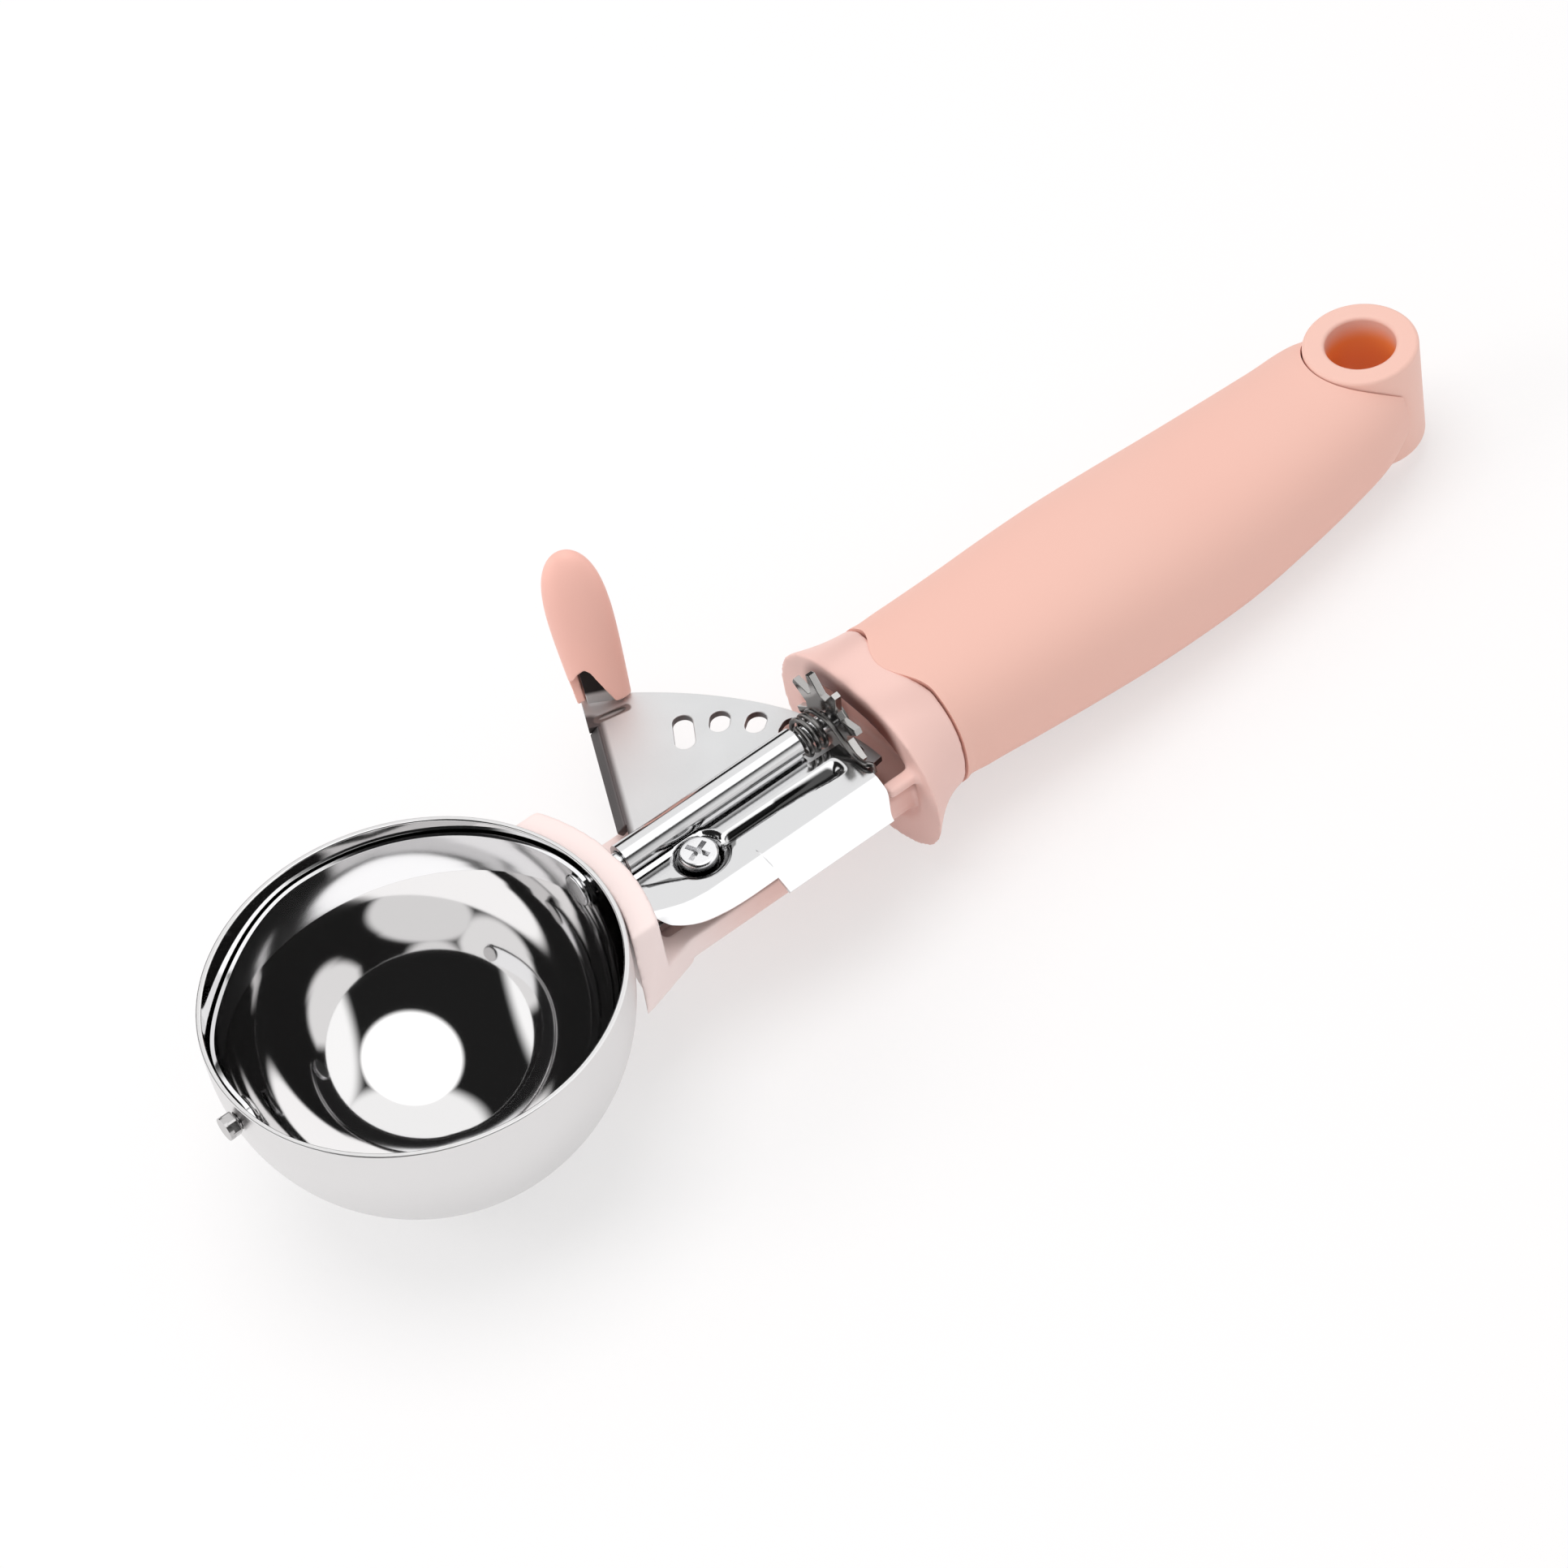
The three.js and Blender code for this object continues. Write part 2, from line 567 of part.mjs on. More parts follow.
// Frame of the thumb tab: its foot is the middle of the bend line, its width runs along that line
function tabMatrix() {
  const wide = new THREE.Vector3(tabEdgePoint.x - cornerPoint.x, tabEdgePoint.y - cornerPoint.y, 0).normalize();
  const out = new THREE.Vector3().crossVectors(PAD_AXIS, wide).normalize();
  const across = new THREE.Vector3().crossVectors(out, PAD_AXIS).normalize();
  const foot = new THREE.Vector3(
    (tabEdgePoint.x + cornerPoint.x) / 2,
    (tabEdgePoint.y + cornerPoint.y) / 2,
    leverMiddle,
  );
  foot.addScaledVector(out, -TAB_THICKNESS / 2);
  return new THREE.Matrix4().makeBasis(across, out, PAD_AXIS).setPosition(foot);
}

function tabBox(halfWidth, halfThickness, start, end) {
  const geometry = new THREE.BoxGeometry(halfWidth * 2, halfThickness * 2, end - start);
  geometry.translate(0, 0, (start + end) / 2);
  geometry.applyMatrix4(tabMatrix());
  return solid(geometry);
}

// The stiffening lip slopes down and outwards along the lever's front edge
function leverLip() {
  const start = LIP_WIDTH;
  const end = elbowPoint.distanceTo(cornerPoint) - LIP_CORNER_GAP;
  const geometry = new THREE.BoxGeometry(end - start, LIP_WIDTH, LEVER_THICKNESS);
  geometry.translate((start + end) / 2, LIP_WIDTH / 2 - LEVER_THICKNESS / 2, 0);
  geometry.rotateX(-LIP_SLOPE);
  geometry.rotateZ(Math.atan2(cornerPoint.y - elbowPoint.y, cornerPoint.x - elbowPoint.x));
  geometry.translate(elbowPoint.x, elbowPoint.y, leverMiddle);
  return solid(geometry);
}

function makeLever() {
  const outline = new THREE.Shape();
  const hubStart = LEVER_ELBOW_ANGLE + Math.acos(LEVER_HUB_RADIUS / LEVER_ELBOW_RADIUS);
  const hubEnd = LEVER_TAIL_ANGLE - Math.acos(LEVER_HUB_RADIUS / leverOuter) + Math.PI * 2;
  outline.moveTo(elbowPoint.x, elbowPoint.y);
  outline.absarc(pivotX, PIVOT_Y, LEVER_HUB_RADIUS, hubStart, hubEnd);
  const rim = [];
  const steps = 14;
  for (let i = 0; i <= steps; i += 1) {
    const share = i / steps;
    const angle = LEVER_TAIL_ANGLE + (TAB_EDGE_ANGLE - LEVER_TAIL_ANGLE) * share;
    rim.push(leverPoint(leverOuter + (tabEdge - leverOuter) * share ** 3, angle));
  }
  for (const point of rim) outline.lineTo(point.x, point.y);
  outline.lineTo(cornerPoint.x, cornerPoint.y);
  let plate = slab(outline, leverBottom, LEVER_TOP, 20)
    .add(leverLip())
    .add(tabBox(TAB_WIDTH / 2, TAB_THICKNESS / 2, 0, TAB_LENGTH))
    .subtract(rodAlongZ(BUSH_RADIUS + GAP, leverBottom - MARGIN, LEVER_TOP + MARGIN, pivotX, PIVOT_Y));
  for (let hole = 0; hole < HOLE_COUNT; hole += 1) {
    const inward = hole === HOLE_COUNT - 1 ? END_SLOT_INWARD : 0;
    plate = plate.subtract(driveHole(meshAngle + (hole - 0.5) * HOLE_PITCH, inward));
  }
  return plate;
}

// Oval thumb pad with a socket for the tab, open at its foot
function makePad() {
  const steps = 10;
  const sides = 20;
  const matrix = tabMatrix();
  const rings = [];
  for (let i = 0; i <= steps; i += 1) {
    const share = i / steps;
    const along = PAD_START + (PAD_END - PAD_START) * (1 - (1 - share) ** PAD_CROWDING);
    const rise = Math.min(1, share / PAD_WIDEST_SHARE);
    const widening = (PAD_HALF_WIDTH - PAD_BASE_HALF_WIDTH) * Math.sin((rise * Math.PI) / 2);
    const swell = PAD_BASE_HALF_WIDTH + widening;
    const beyond = Math.max(0, (share - PAD_WIDEST_SHARE) / (1 - PAD_WIDEST_SHARE));
    const close = Math.sqrt(Math.max(PAD_TIP_SHARE, 1 - beyond ** PAD_TIP_POWER));
    const ring = [];
    for (let j = 0; j < sides; j += 1) {
      const turn = (j / sides) * Math.PI * 2;
      const point = new THREE.Vector3(
        Math.cos(turn) * swell * close,
        Math.sin(turn) * PAD_HALF_THICKNESS * close,
        along,
      );
      ring.push(point.applyMatrix4(matrix));
    }
    rings.push(ring);
  }
  const socket = tabBox(TAB_WIDTH / 2 + GAP, TAB_THICKNESS / 2 + GAP, 0, TAB_LENGTH + GAP);
  return solid(loft(rings)).subtract(socket);
}

function makeScrew() {
  const headBottom = dishFloor + GAP;
  const headTop = headBottom + SCREW_HEAD_HEIGHT;
  const tip = NECK_FLOOR;
  const crossFloor = headTop - CROSS_DEPTH;
  const half = CROSS_WIDTH / 2;
  const reach = CROSS_LENGTH / 2;
  return rodAlongZ(SCREW_RADIUS, tip, headBottom + SCREW_HEAD_HEIGHT / 2, pivotX, PIVOT_Y, 16)
    .add(rodAlongZ(SCREW_HEAD_RADIUS, headBottom, headTop, pivotX, PIVOT_Y))
    .subtract(block(pivotX - reach, pivotX + reach, PIVOT_Y - half, PIVOT_Y + half, crossFloor, headTop + MARGIN))
    .subtract(block(pivotX - half, pivotX + half, PIVOT_Y - reach, PIVOT_Y + reach, crossFloor, headTop + MARGIN));
}

function makeBush() {
  const top = dishUnderside - GAP;
  const bottom = washerTop - WASHER_THICKNESS;
  return rodAlongZ(BUSH_RADIUS, bottom, top, pivotX, PIVOT_Y)
    .add(rodAlongZ(BUSH_SHOULDER_RADIUS, LEVER_TOP + GAP, top, pivotX, PIVOT_Y))
    .subtract(rodAlongZ(SCREW_RADIUS + GAP, bottom - MARGIN, top + MARGIN, pivotX, PIVOT_Y, 16));
}

function makeWasher() {
  const bottom = washerTop - WASHER_THICKNESS;
  return rodAlongZ(WASHER_RADIUS, bottom, washerTop, pivotX, PIVOT_Y)
    .subtract(rodAlongZ(BUSH_RADIUS + GAP, bottom - MARGIN, washerTop + MARGIN, pivotX, PIVOT_Y));
}

function makeInsert() {
  return rodAlongZ(insertOuter, NECK_FLOOR, bossTop, pivotX, PIVOT_Y, 16)
    .subtract(rodAlongZ(insertInner, NECK_FLOOR - MARGIN, bossTop + MARGIN, pivotX, PIVOT_Y, 16));
}

// Frame section in (y, z): flat deck, a crease and the sloping flank, all of one sheet
function frameSection() {
  const outline = new THREE.Shape();
  outline.moveTo(-SHAFT_RADIUS, FRAME_TOP);
  outline.lineTo(flankCreaseY, FRAME_TOP);
  outline.lineTo(FLANK_Y, flankBottom);
  outline.lineTo(flankFootY, flankBottom);
  outline.lineTo(flankInsideY, FRAME_TOP - FRAME_SHEET);
  outline.lineTo(-SHAFT_RADIUS, FRAME_TOP - FRAME_SHEET);
  return outline;
}

function makeFrame() {
  const farBelow = flankBottom - MARGIN;
  const farAbove = SLEEVE_RADIUS + MARGIN;
  const frontEdge = new THREE.Shape();
  frontEdge.moveTo(frameFront, FRAME_TIP_Y);
  frontEdge.quadraticCurveTo(pivotX - DISH_RADIUS, FRAME_FRONT_EDGE_Y, notchX, FRAME_FRONT_EDGE_Y);
  frontEdge.lineTo(notchX, FLANK_Y - MARGIN);
  frontEdge.lineTo(frameFront, FLANK_Y - MARGIN);
  const coilRoom = SPRING_COIL_RADIUS + SPRING_WIRE / 2 + GAP;
  const trayRadius = DISH_RADIUS + FRAME_SHEET;
  const trayHalf = CHANNEL_HALF_WIDTH + FRAME_SHEET;
  const trayTop = FRAME_TOP - FRAME_SHEET / 2;
  const trayEnd = channelEnd + FRAME_SHEET;
  const channelLow = CHANNEL_Y - CHANNEL_HALF_WIDTH;
  const channelHigh = CHANNEL_Y + CHANNEL_HALF_WIDTH;
  return barAlongX(frameSection(), frameFront, frameRear)
    .add(rodAlongX(SLEEVE_RADIUS, sleeveStart, sleeveEnd))
    .add(rodAlongZ(trayRadius, dishUnderside, trayTop, pivotX, PIVOT_Y))
    .add(block(pivotX, trayEnd, CHANNEL_Y - trayHalf, CHANNEL_Y + trayHalf, dishUnderside, trayTop))
    .subtract(rodAlongX(shaftBore, frameFront, frameRear + MARGIN))
    .subtract(rodAlongZ(DISH_RADIUS, dishFloor, farAbove, pivotX, PIVOT_Y))
    .subtract(block(pivotX, channelEnd, channelLow, channelHigh, dishFloor, farAbove))
    .subtract(rodAlongZ(SCREW_RADIUS + GAP, dishUnderside - MARGIN, farAbove, pivotX, PIVOT_Y, 16))
    .subtract(rodAlongZ(collarOuter + GAP, farBelow, farAbove, 0, 0, 64))
    .subtract(slab(frontEdge, farBelow, farAbove))
    .subtract(block(sleeveEnd, frameRear + MARGIN, -coilRoom, coilRoom, farBelow, farAbove));
}

// The spring's route: hooked to the shaft, wound towards the wheel, then out along the deck and over its edge
function springRoute() {
  const route = [];
  const wireHalf = SPRING_WIRE / 2;
  const total = SPRING_TURNS * SPRING_STEPS_PER_TURN;
  const deckZ = FRAME_TOP + wireHalf + GAP;
  route.push(new THREE.Vector3(springStart, 0, SHAFT_RADIUS + GAP));
  for (let i = 0; i <= total; i += 1) {
    const turn = (i / SPRING_STEPS_PER_TURN) * Math.PI * 2;
    const x = springStart + (i / total) * (springRear - springStart);
    route.push(new THREE.Vector3(x, -Math.sin(turn) * SPRING_COIL_RADIUS, Math.cos(turn) * SPRING_COIL_RADIUS));
  }
  const drop = -(SPRING_COIL_RADIUS + SPRING_WIRE * 2);
  route.push(new THREE.Vector3(springLegX, drop, (SPRING_COIL_RADIUS + deckZ) / 2));
  route.push(new THREE.Vector3(springLegX, SPRING_LEG_Y / 2 + drop / 2, deckZ));
  route.push(new THREE.Vector3(springLegX, SPRING_LEG_Y, deckZ));
  const past = frameRear + wireHalf + GAP;
  route.push(new THREE.Vector3(past, SPRING_LEG_Y - SPRING_WIRE, deckZ));
  route.push(new THREE.Vector3(past, SPRING_LEG_Y - SPRING_WIRE, deckZ - SPRING_WIRE));
  route.push(new THREE.Vector3(past, SPRING_LEG_Y - SPRING_WIRE, deckZ - SPRING_WIRE * 2));
  return route;
}

function wireRings(route) {
  const rings = [];
  const tangent = new THREE.Vector3();
  let normal = new THREE.Vector3(1, 0, 0);
  for (let i = 0; i < route.length; i += 1) {
    const before = route[Math.max(0, i - 1)];
    const after = route[Math.min(route.length - 1, i + 1)];
    tangent.subVectors(after, before).normalize();
    normal = normal.clone().addScaledVector(tangent, -normal.dot(tangent)).normalize();
    const binormal = new THREE.Vector3().crossVectors(tangent, normal);
    const ring = [];
    for (let j = 0; j < SPRING_SIDES; j += 1) {
      const turn = (j / SPRING_SIDES) * Math.PI * 2;
      const point = route[i].clone();
      point.addScaledVector(normal, (Math.cos(turn) * SPRING_WIRE) / 2);
      point.addScaledVector(binormal, (Math.sin(turn) * SPRING_WIRE) / 2);
      ring.push(point);
    }
    rings.push(ring);
  }
  return rings;
}

// Least distance between stretches of the wire that are at least half a turn apart, less the wire itself
function springGap(route) {
  const samples = [];
  for (let i = 0; i + 1 < route.length; i += 1) {
    for (let k = 0; k < 4; k += 1) samples.push(route[i].clone().lerp(route[i + 1], k / 4));
  }
  let least = Infinity;
  const apart = SPRING_STEPS_PER_TURN * 2;
  for (let i = 0; i < samples.length; i += 1) {
    for (let j = i + apart; j < samples.length; j += 1) least = Math.min(least, samples[i].distanceTo(samples[j]));
  }
  return least - SPRING_WIRE;
}

function makeSpring() {
  const route = springRoute();
  console.log(`return_spring: least gap to itself ${springGap(route).toFixed(2)} mm`);
  return solid(loft(wireRings(route)));
}

// A ring segment behind the bowl, in plan between two radii
function ringSegment(inner, outer, halfAngle, z0, z1) {
  const outline = new THREE.Shape();
  outline.absarc(0, 0, outer, -halfAngle, halfAngle, false);
  outline.absarc(0, 0, inner, halfAngle, -halfAngle, true);
  return slab(outline, z0, z1, 16);
}

// The neck section in (y, z), rounded into the floor; the lever side may stand lower
function neckHull(halfWidth, top, leverSideTop, bottom, bend) {
  const outline = new THREE.Shape();
  outline.moveTo(-halfWidth, top);
  outline.lineTo(-halfWidth, bottom + bend);
  outline.quadraticCurveTo(-halfWidth, bottom, -halfWidth + bend, bottom);
  outline.lineTo(halfWidth - bend, bottom);
  outline.quadraticCurveTo(halfWidth, bottom, halfWidth, bottom + bend);
  outline.lineTo(halfWidth, leverSideTop);
  outline.lineTo(0, leverSideTop);
  outline.lineTo(0, top);
  return outline;
}

// The collar seen along x: its ends slant out to low tips and run in under the neck
function collarSection() {
  const outline = new THREE.Shape();
  outline.moveTo(-COLLAR_TOP_HALF_WIDTH, COLLAR_TOP);
  outline.lineTo(-COLLAR_TIP_HALF_WIDTH, COLLAR_TIP_Z);
  outline.lineTo(-NECK_HALF_WIDTH, NECK_BOTTOM);
  outline.lineTo(NECK_HALF_WIDTH, NECK_BOTTOM);
  outline.lineTo(COLLAR_TIP_HALF_WIDTH, COLLAR_TIP_Z);
  outline.lineTo(COLLAR_TOP_HALF_WIDTH, COLLAR_TOP);
  return outline;
}

function makeCore() {
  const bowlRoom = BOWL_RADIUS + GAP;
  const neckStart = BOWL_RADIUS / 2;
  const troughStart = collarOuter;
  const far = BOWL_RADIUS * 2;
  const neck = barAlongX(
    neckHull(NECK_HALF_WIDTH, NECK_WALL_TOP, NECK_LEVER_SIDE_TOP, NECK_BOTTOM, NECK_BEND),
    neckStart,
    seamX - GAP,
  );
  const troughHalf = NECK_HALF_WIDTH - NECK_WALL;
  const trough = barAlongX(
    neckHull(troughHalf, RIM_HEIGHT, RIM_HEIGHT, NECK_FLOOR, NECK_BEND - NECK_WALL),
    troughStart,
    mouthEnd,
  );
  const boss = rodAlongZ(BOSS_RADIUS, NECK_FLOOR - MARGIN, bossTop, pivotX, PIVOT_Y);
  const insertRoom = rodAlongZ(insertOuter + GAP, NECK_FLOOR - GAP, bossTop + MARGIN, pivotX, PIVOT_Y, 16);
  const washerRoom = rodAlongZ(WASHER_RADIUS + GAP, bossTop, far, pivotX, PIVOT_Y);
  const collarPlan = rodAlongZ(collarOuter, NECK_BOTTOM - MARGIN, COLLAR_TOP + MARGIN, 0, 0, 64);
  const collar = barAlongX(collarSection(), neckStart, collarOuter).intersect(collarPlan);
  const tangAngle = Math.asin((TANG_HALF_WIDTH + GAP) / tangInner);
  const tangRoom = ringSegment(bowlRoom - MARGIN, tangOuter + GAP, tangAngle, NECK_FLOOR, TANG_TOP + GAP);
  const tangWidth = TANG_HALF_WIDTH + GAP;
  const strapRoom = block(BOWL_RADIUS, tangEnd + GAP, -tangWidth, tangWidth, NECK_FLOOR, strapTop + GAP);
  const lugCentre = FLANK_Y + LUG_INSET;
  const lugTop = FRAME_TOP - LUG_DROP;
  const lug = block(
    ferruleFront - LUG_LENGTH,
    ferruleFront + FERRULE_WALL,
    lugCentre - LUG_WIDTH / 2,
    lugCentre + LUG_WIDTH / 2,
    lugTop - LUG_HEIGHT,
    lugTop,
  );
  let core = handleForm(0)
    .subtract(behindSeam(0))
    .add(handleForm(GRIP_WALL + GAP))
    .subtract(mouthPocket())
    .add(neck.subtract(trough))
    .add(lug)
    .add(boss)
    .add(collar)
    .add(eyeEnd())
    .subtract(trough.intersect(block(0, ferruleFront, -far, far, bossTop, far)))
    .subtract(washerRoom)
    .subtract(insertRoom)
    .subtract(rodAlongZ(bowlRoom, -far, far, 0, 0, 64))
    .subtract(tangRoom)
    .subtract(strapRoom)
    .subtract(rodAlongX(shaftBore, BOWL_RADIUS, collarOuter + MARGIN))
    .subtract(rodAlongZ(EYE_HOLE_RADIUS, EYE_BOTTOM - MARGIN, EYE_TOP + MARGIN, eyeX, 0));
  for (const side of [-1, 1]) {
    const y = side * RIVET_SPREAD;
    const holeBottom = strapBottom - RIVET_DEPTH - GAP;
    core = core.subtract(rodAlongZ(RIVET_RADIUS + GAP, holeBottom, NECK_FLOOR + MARGIN, rivetX, y, 12));
  }
  return core;
}

// Round boss of the hanging eye, standing through the tail of the handle
function eyeEnd() {
  return rodAlongZ(EYE_HALF_WIDTH, EYE_BOTTOM, EYE_TOP, eyeX, 0, 40);
}

function makeGrip() {
  const eyeRoom = rodAlongZ(EYE_HALF_WIDTH + GAP, -BOWL_RADIUS, BOWL_RADIUS, eyeX, 0, 40);
  const beyondEye = block(eyeX, gripEndX * 2, -BOWL_RADIUS, BOWL_RADIUS, -BOWL_RADIUS, BOWL_RADIUS);
  return handleForm(0)
    .intersect(behindSeam(GAP))
    .subtract(handleForm(GRIP_WALL))
    .subtract(eyeRoom)
    .subtract(beyondEye)
    .subtract(belowFloor());
}

function makeTang() {
  const angle = Math.asin(TANG_HALF_WIDTH / tangInner);
  let tang = ringSegment(tangInner, tangOuter, angle, strapBottom, TANG_TOP)
    .add(block(tangInner, tangEnd, -TANG_HALF_WIDTH, TANG_HALF_WIDTH, strapBottom, strapTop)
      .subtract(rodAlongZ(tangInner, strapBottom - MARGIN, strapTop + MARGIN, 0, 0, 64)));
  for (const side of [-1, 1]) {
    const y = side * RIVET_SPREAD;
    tang = tang.subtract(rodAlongZ(RIVET_RADIUS + GAP, strapBottom - MARGIN, strapTop + MARGIN, rivetX, y, 12));
  }
  return tang;
}

function makeRivet(side) {
  const shankBottom = strapBottom - RIVET_DEPTH;
  const headBottom = strapTop + GAP;
  const profile = [new THREE.Vector2(0, shankBottom), new THREE.Vector2(RIVET_RADIUS, shankBottom)];
  profile.push(new THREE.Vector2(RIVET_RADIUS, headBottom));
  const steps = 4;
  for (let i = 0; i <= steps; i += 1) {
    const angle = (i / steps) * (Math.PI / 2);
    const radius = i === steps ? 0 : Math.cos(angle) * RIVET_HEAD_RADIUS;
    profile.push(new THREE.Vector2(radius, headBottom + Math.sin(angle) * RIVET_HEAD_HEIGHT));
  }
  return turned(profile, 12).translate([rivetX, side * RIVET_SPREAD, 0]);
}

// The assembly
const scoop = new THREE.Group();
scoop.rotation.y = tilt;
scoop.position.z = footDepth;

function place(name, body, finish) {
  const mesh = new THREE.Mesh(geometryOf(body), new THREE.MeshStandardMaterial(finish));
  mesh.name = name;
  scoop.add(mesh);
}

place('bowl', makeBowl(), steelSatin);
place('bowl_tang', makeTang(), steelSatin);
place('tang_rivet_lever_side', makeRivet(1), steelSatin);
place('tang_rivet_flank_side', makeRivet(-1), steelSatin);
place('scraper_blade', makeBlade(), steelBright);
place('front_pivot_pin', makePin(), steelBright);
place('scraper_shaft', makeShaft(), steelBright);
place('star_wheel', makeWheel(), steelBright);
place('wheel_clip', makeClip(), springSteel);
place('return_spring', makeSpring(), springSteel);
place('steel_frame', makeFrame(), steelBright);
place('lever_plate', makeLever(), steelBright);
place('thumb_pad', makePad(), padPink);
place('pivot_screw', makeScrew(), steelBright);
place('pivot_bush', makeBush(), brassTurned);
place('pivot_washer', makeWasher(), washerWhite);
place('threaded_insert', makeInsert(), brassTurned);
place('handle_core', makeCore(), corePink);
place('grip_sleeve', makeGrip(), gripPink);

const iceCreamScoop = new THREE.Group();
iceCreamScoop.add(scoop);

export default iceCreamScoop;
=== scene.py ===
"""Thumb-lever ice cream scoop: a pressed steel bowl on a pink moulded handle, with the stamped
lever work that sweeps a scraper round the bowl. Looks only; the CAD pack holds sizes and joints."""

from math import acos, asin, atan2, copysign, cos, dist, pi, radians, sin, sqrt, tau

import bpy
from mathutils import Matrix, Vector


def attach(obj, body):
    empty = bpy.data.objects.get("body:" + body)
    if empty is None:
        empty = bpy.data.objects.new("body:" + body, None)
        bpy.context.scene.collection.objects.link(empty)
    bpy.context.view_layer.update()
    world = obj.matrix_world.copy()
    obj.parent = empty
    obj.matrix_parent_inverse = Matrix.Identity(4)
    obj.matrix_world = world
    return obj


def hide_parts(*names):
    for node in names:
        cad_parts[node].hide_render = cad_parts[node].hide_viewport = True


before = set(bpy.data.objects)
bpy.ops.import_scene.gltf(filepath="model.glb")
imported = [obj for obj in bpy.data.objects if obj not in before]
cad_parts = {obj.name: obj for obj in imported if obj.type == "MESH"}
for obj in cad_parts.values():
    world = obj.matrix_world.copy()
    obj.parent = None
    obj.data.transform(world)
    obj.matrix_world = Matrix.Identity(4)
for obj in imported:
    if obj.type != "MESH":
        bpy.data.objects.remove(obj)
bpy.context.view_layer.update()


# Camera
# A long lens looks down on the scoop from the open side of the neck, rolled so that the handle
# climbs to the upper right. Angles are told in the scoop's own frame: shaft along x, bowl at 0.
LEAN = radians(3.687171)
BOWL_CENTRE_HEIGHT = 29.85
MM = 0.001
IMAGE_SIDE = 1932
SENSOR = 36.0
FOCAL_PIXELS = 6598.8
VIEW_AZIMUTH = radians(-119.1)
VIEW_ELEVATION = radians(47.48)
VIEW_ROLL = radians(-11.95)
VIEW_DISTANCE = 742.25
VIEW_TARGET = Vector((58.57, -8.0, 3.7))

into_row = (
    Matrix.Translation((0, 0, BOWL_CENTRE_HEIGHT * MM))
    @ Matrix.Rotation(LEAN, 4, "Y")
    @ Matrix.Scale(MM, 4)
)
turn_only = Matrix.Rotation(LEAN, 3, "Y")

level = Vector((-sin(VIEW_AZIMUTH), cos(VIEW_AZIMUTH), 0))
outward = Vector((cos(VIEW_AZIMUTH), sin(VIEW_AZIMUTH), 0))
back = cos(VIEW_ELEVATION) * outward + Vector((0, 0, sin(VIEW_ELEVATION)))
upright = back.cross(level)
right = cos(VIEW_ROLL) * level + sin(VIEW_ROLL) * upright
up = -sin(VIEW_ROLL) * level + cos(VIEW_ROLL) * upright
eye = into_row @ (VIEW_TARGET + back * VIEW_DISTANCE)

lens = bpy.data.cameras.new("photo_camera")
lens.sensor_fit = "HORIZONTAL"
lens.sensor_width = SENSOR
lens.lens = FOCAL_PIXELS * SENSOR / IMAGE_SIDE
lens.clip_end = 20
camera = bpy.data.objects.new("photo_camera", lens)
columns = turn_only @ Matrix((right, up, back)).transposed()
camera.matrix_world = Matrix.Translation(eye) @ columns.to_4x4()
bpy.context.scene.collection.objects.link(camera)
bpy.context.scene.camera = camera
bpy.context.scene.view_settings.view_transform = "Standard"


# Studio
# A white sweep under an even white sky, one round lamp overhead and one at the side. What
# polished steel mirrors is a dark room with white screens left and right, a round light above
# and one pale patch far off.
class Tone:
    """One socket of a node tree. Sums and products of tones add Math nodes to the tree."""

    def __init__(self, tree, socket):
        self.tree = tree
        self.socket = socket

    def node(self, kind, settings=None, inputs=None, output=0):
        made = self.tree.nodes.new(kind)
        for name, value in (settings or {}).items():
            setattr(made, name, value)
        for name, value in (inputs or {}).items():
            if isinstance(value, Tone):
                value.into(made.inputs[name])
            else:
                made.inputs[name].default_value = value
        return Tone(self.tree, made.outputs[output])

    def into(self, socket):
        self.tree.links.new(self.socket, socket)

    def sum_node(self, operation, first, second=0.0):
        return self.node("ShaderNodeMath", {"operation": operation}, {0: first, 1: second})

    def __add__(self, other):
        return self.sum_node("ADD", self, other)

    __radd__ = __add__

    def __sub__(self, other):
        return self.sum_node("SUBTRACT", self, other)

    def __rsub__(self, other):
        return self.sum_node("SUBTRACT", other, self)

    def __mul__(self, other):
        return self.sum_node("MULTIPLY", self, other)

    def between(self, low, high, to_low=0.0, to_high=1.0):
        """Smooth step from low to high."""
        return self.node(
            "ShaderNodeMapRange",
            {"interpolation_type": "SMOOTHSTEP"},
            {"Value": self, "From Min": low, "From Max": high, "To Min": to_low, "To Max": to_high},
        )

    def dot(self, way):
        return self.node(
            "ShaderNodeVectorMath", {"operation": "DOT_PRODUCT"}, {0: self, 1: way}, output="Value"
        )

    def mix(self, plain, marked):
        """The plain colour where this tone is 0, and the marked one where it is 1."""
        sockets = {"Factor": self, "A": plain, "B": marked}
        return self.node("ShaderNodeMix", {"data_type": "RGBA"}, sockets, output="Result")


def highest(*tones):
    top = tones[0]
    for tone in tones[1:]:
        top = top.sum_node("MAXIMUM", top, tone)
    return top


def ray_kinds(start):
    """Two tones: 1 for a ray from the camera, and 1 for a ray off a mirror."""
    kinds = ("Is Camera Ray", "Is Glossy Ray")
    return [start.node("ShaderNodeLightPath", output=kind) for kind in kinds]


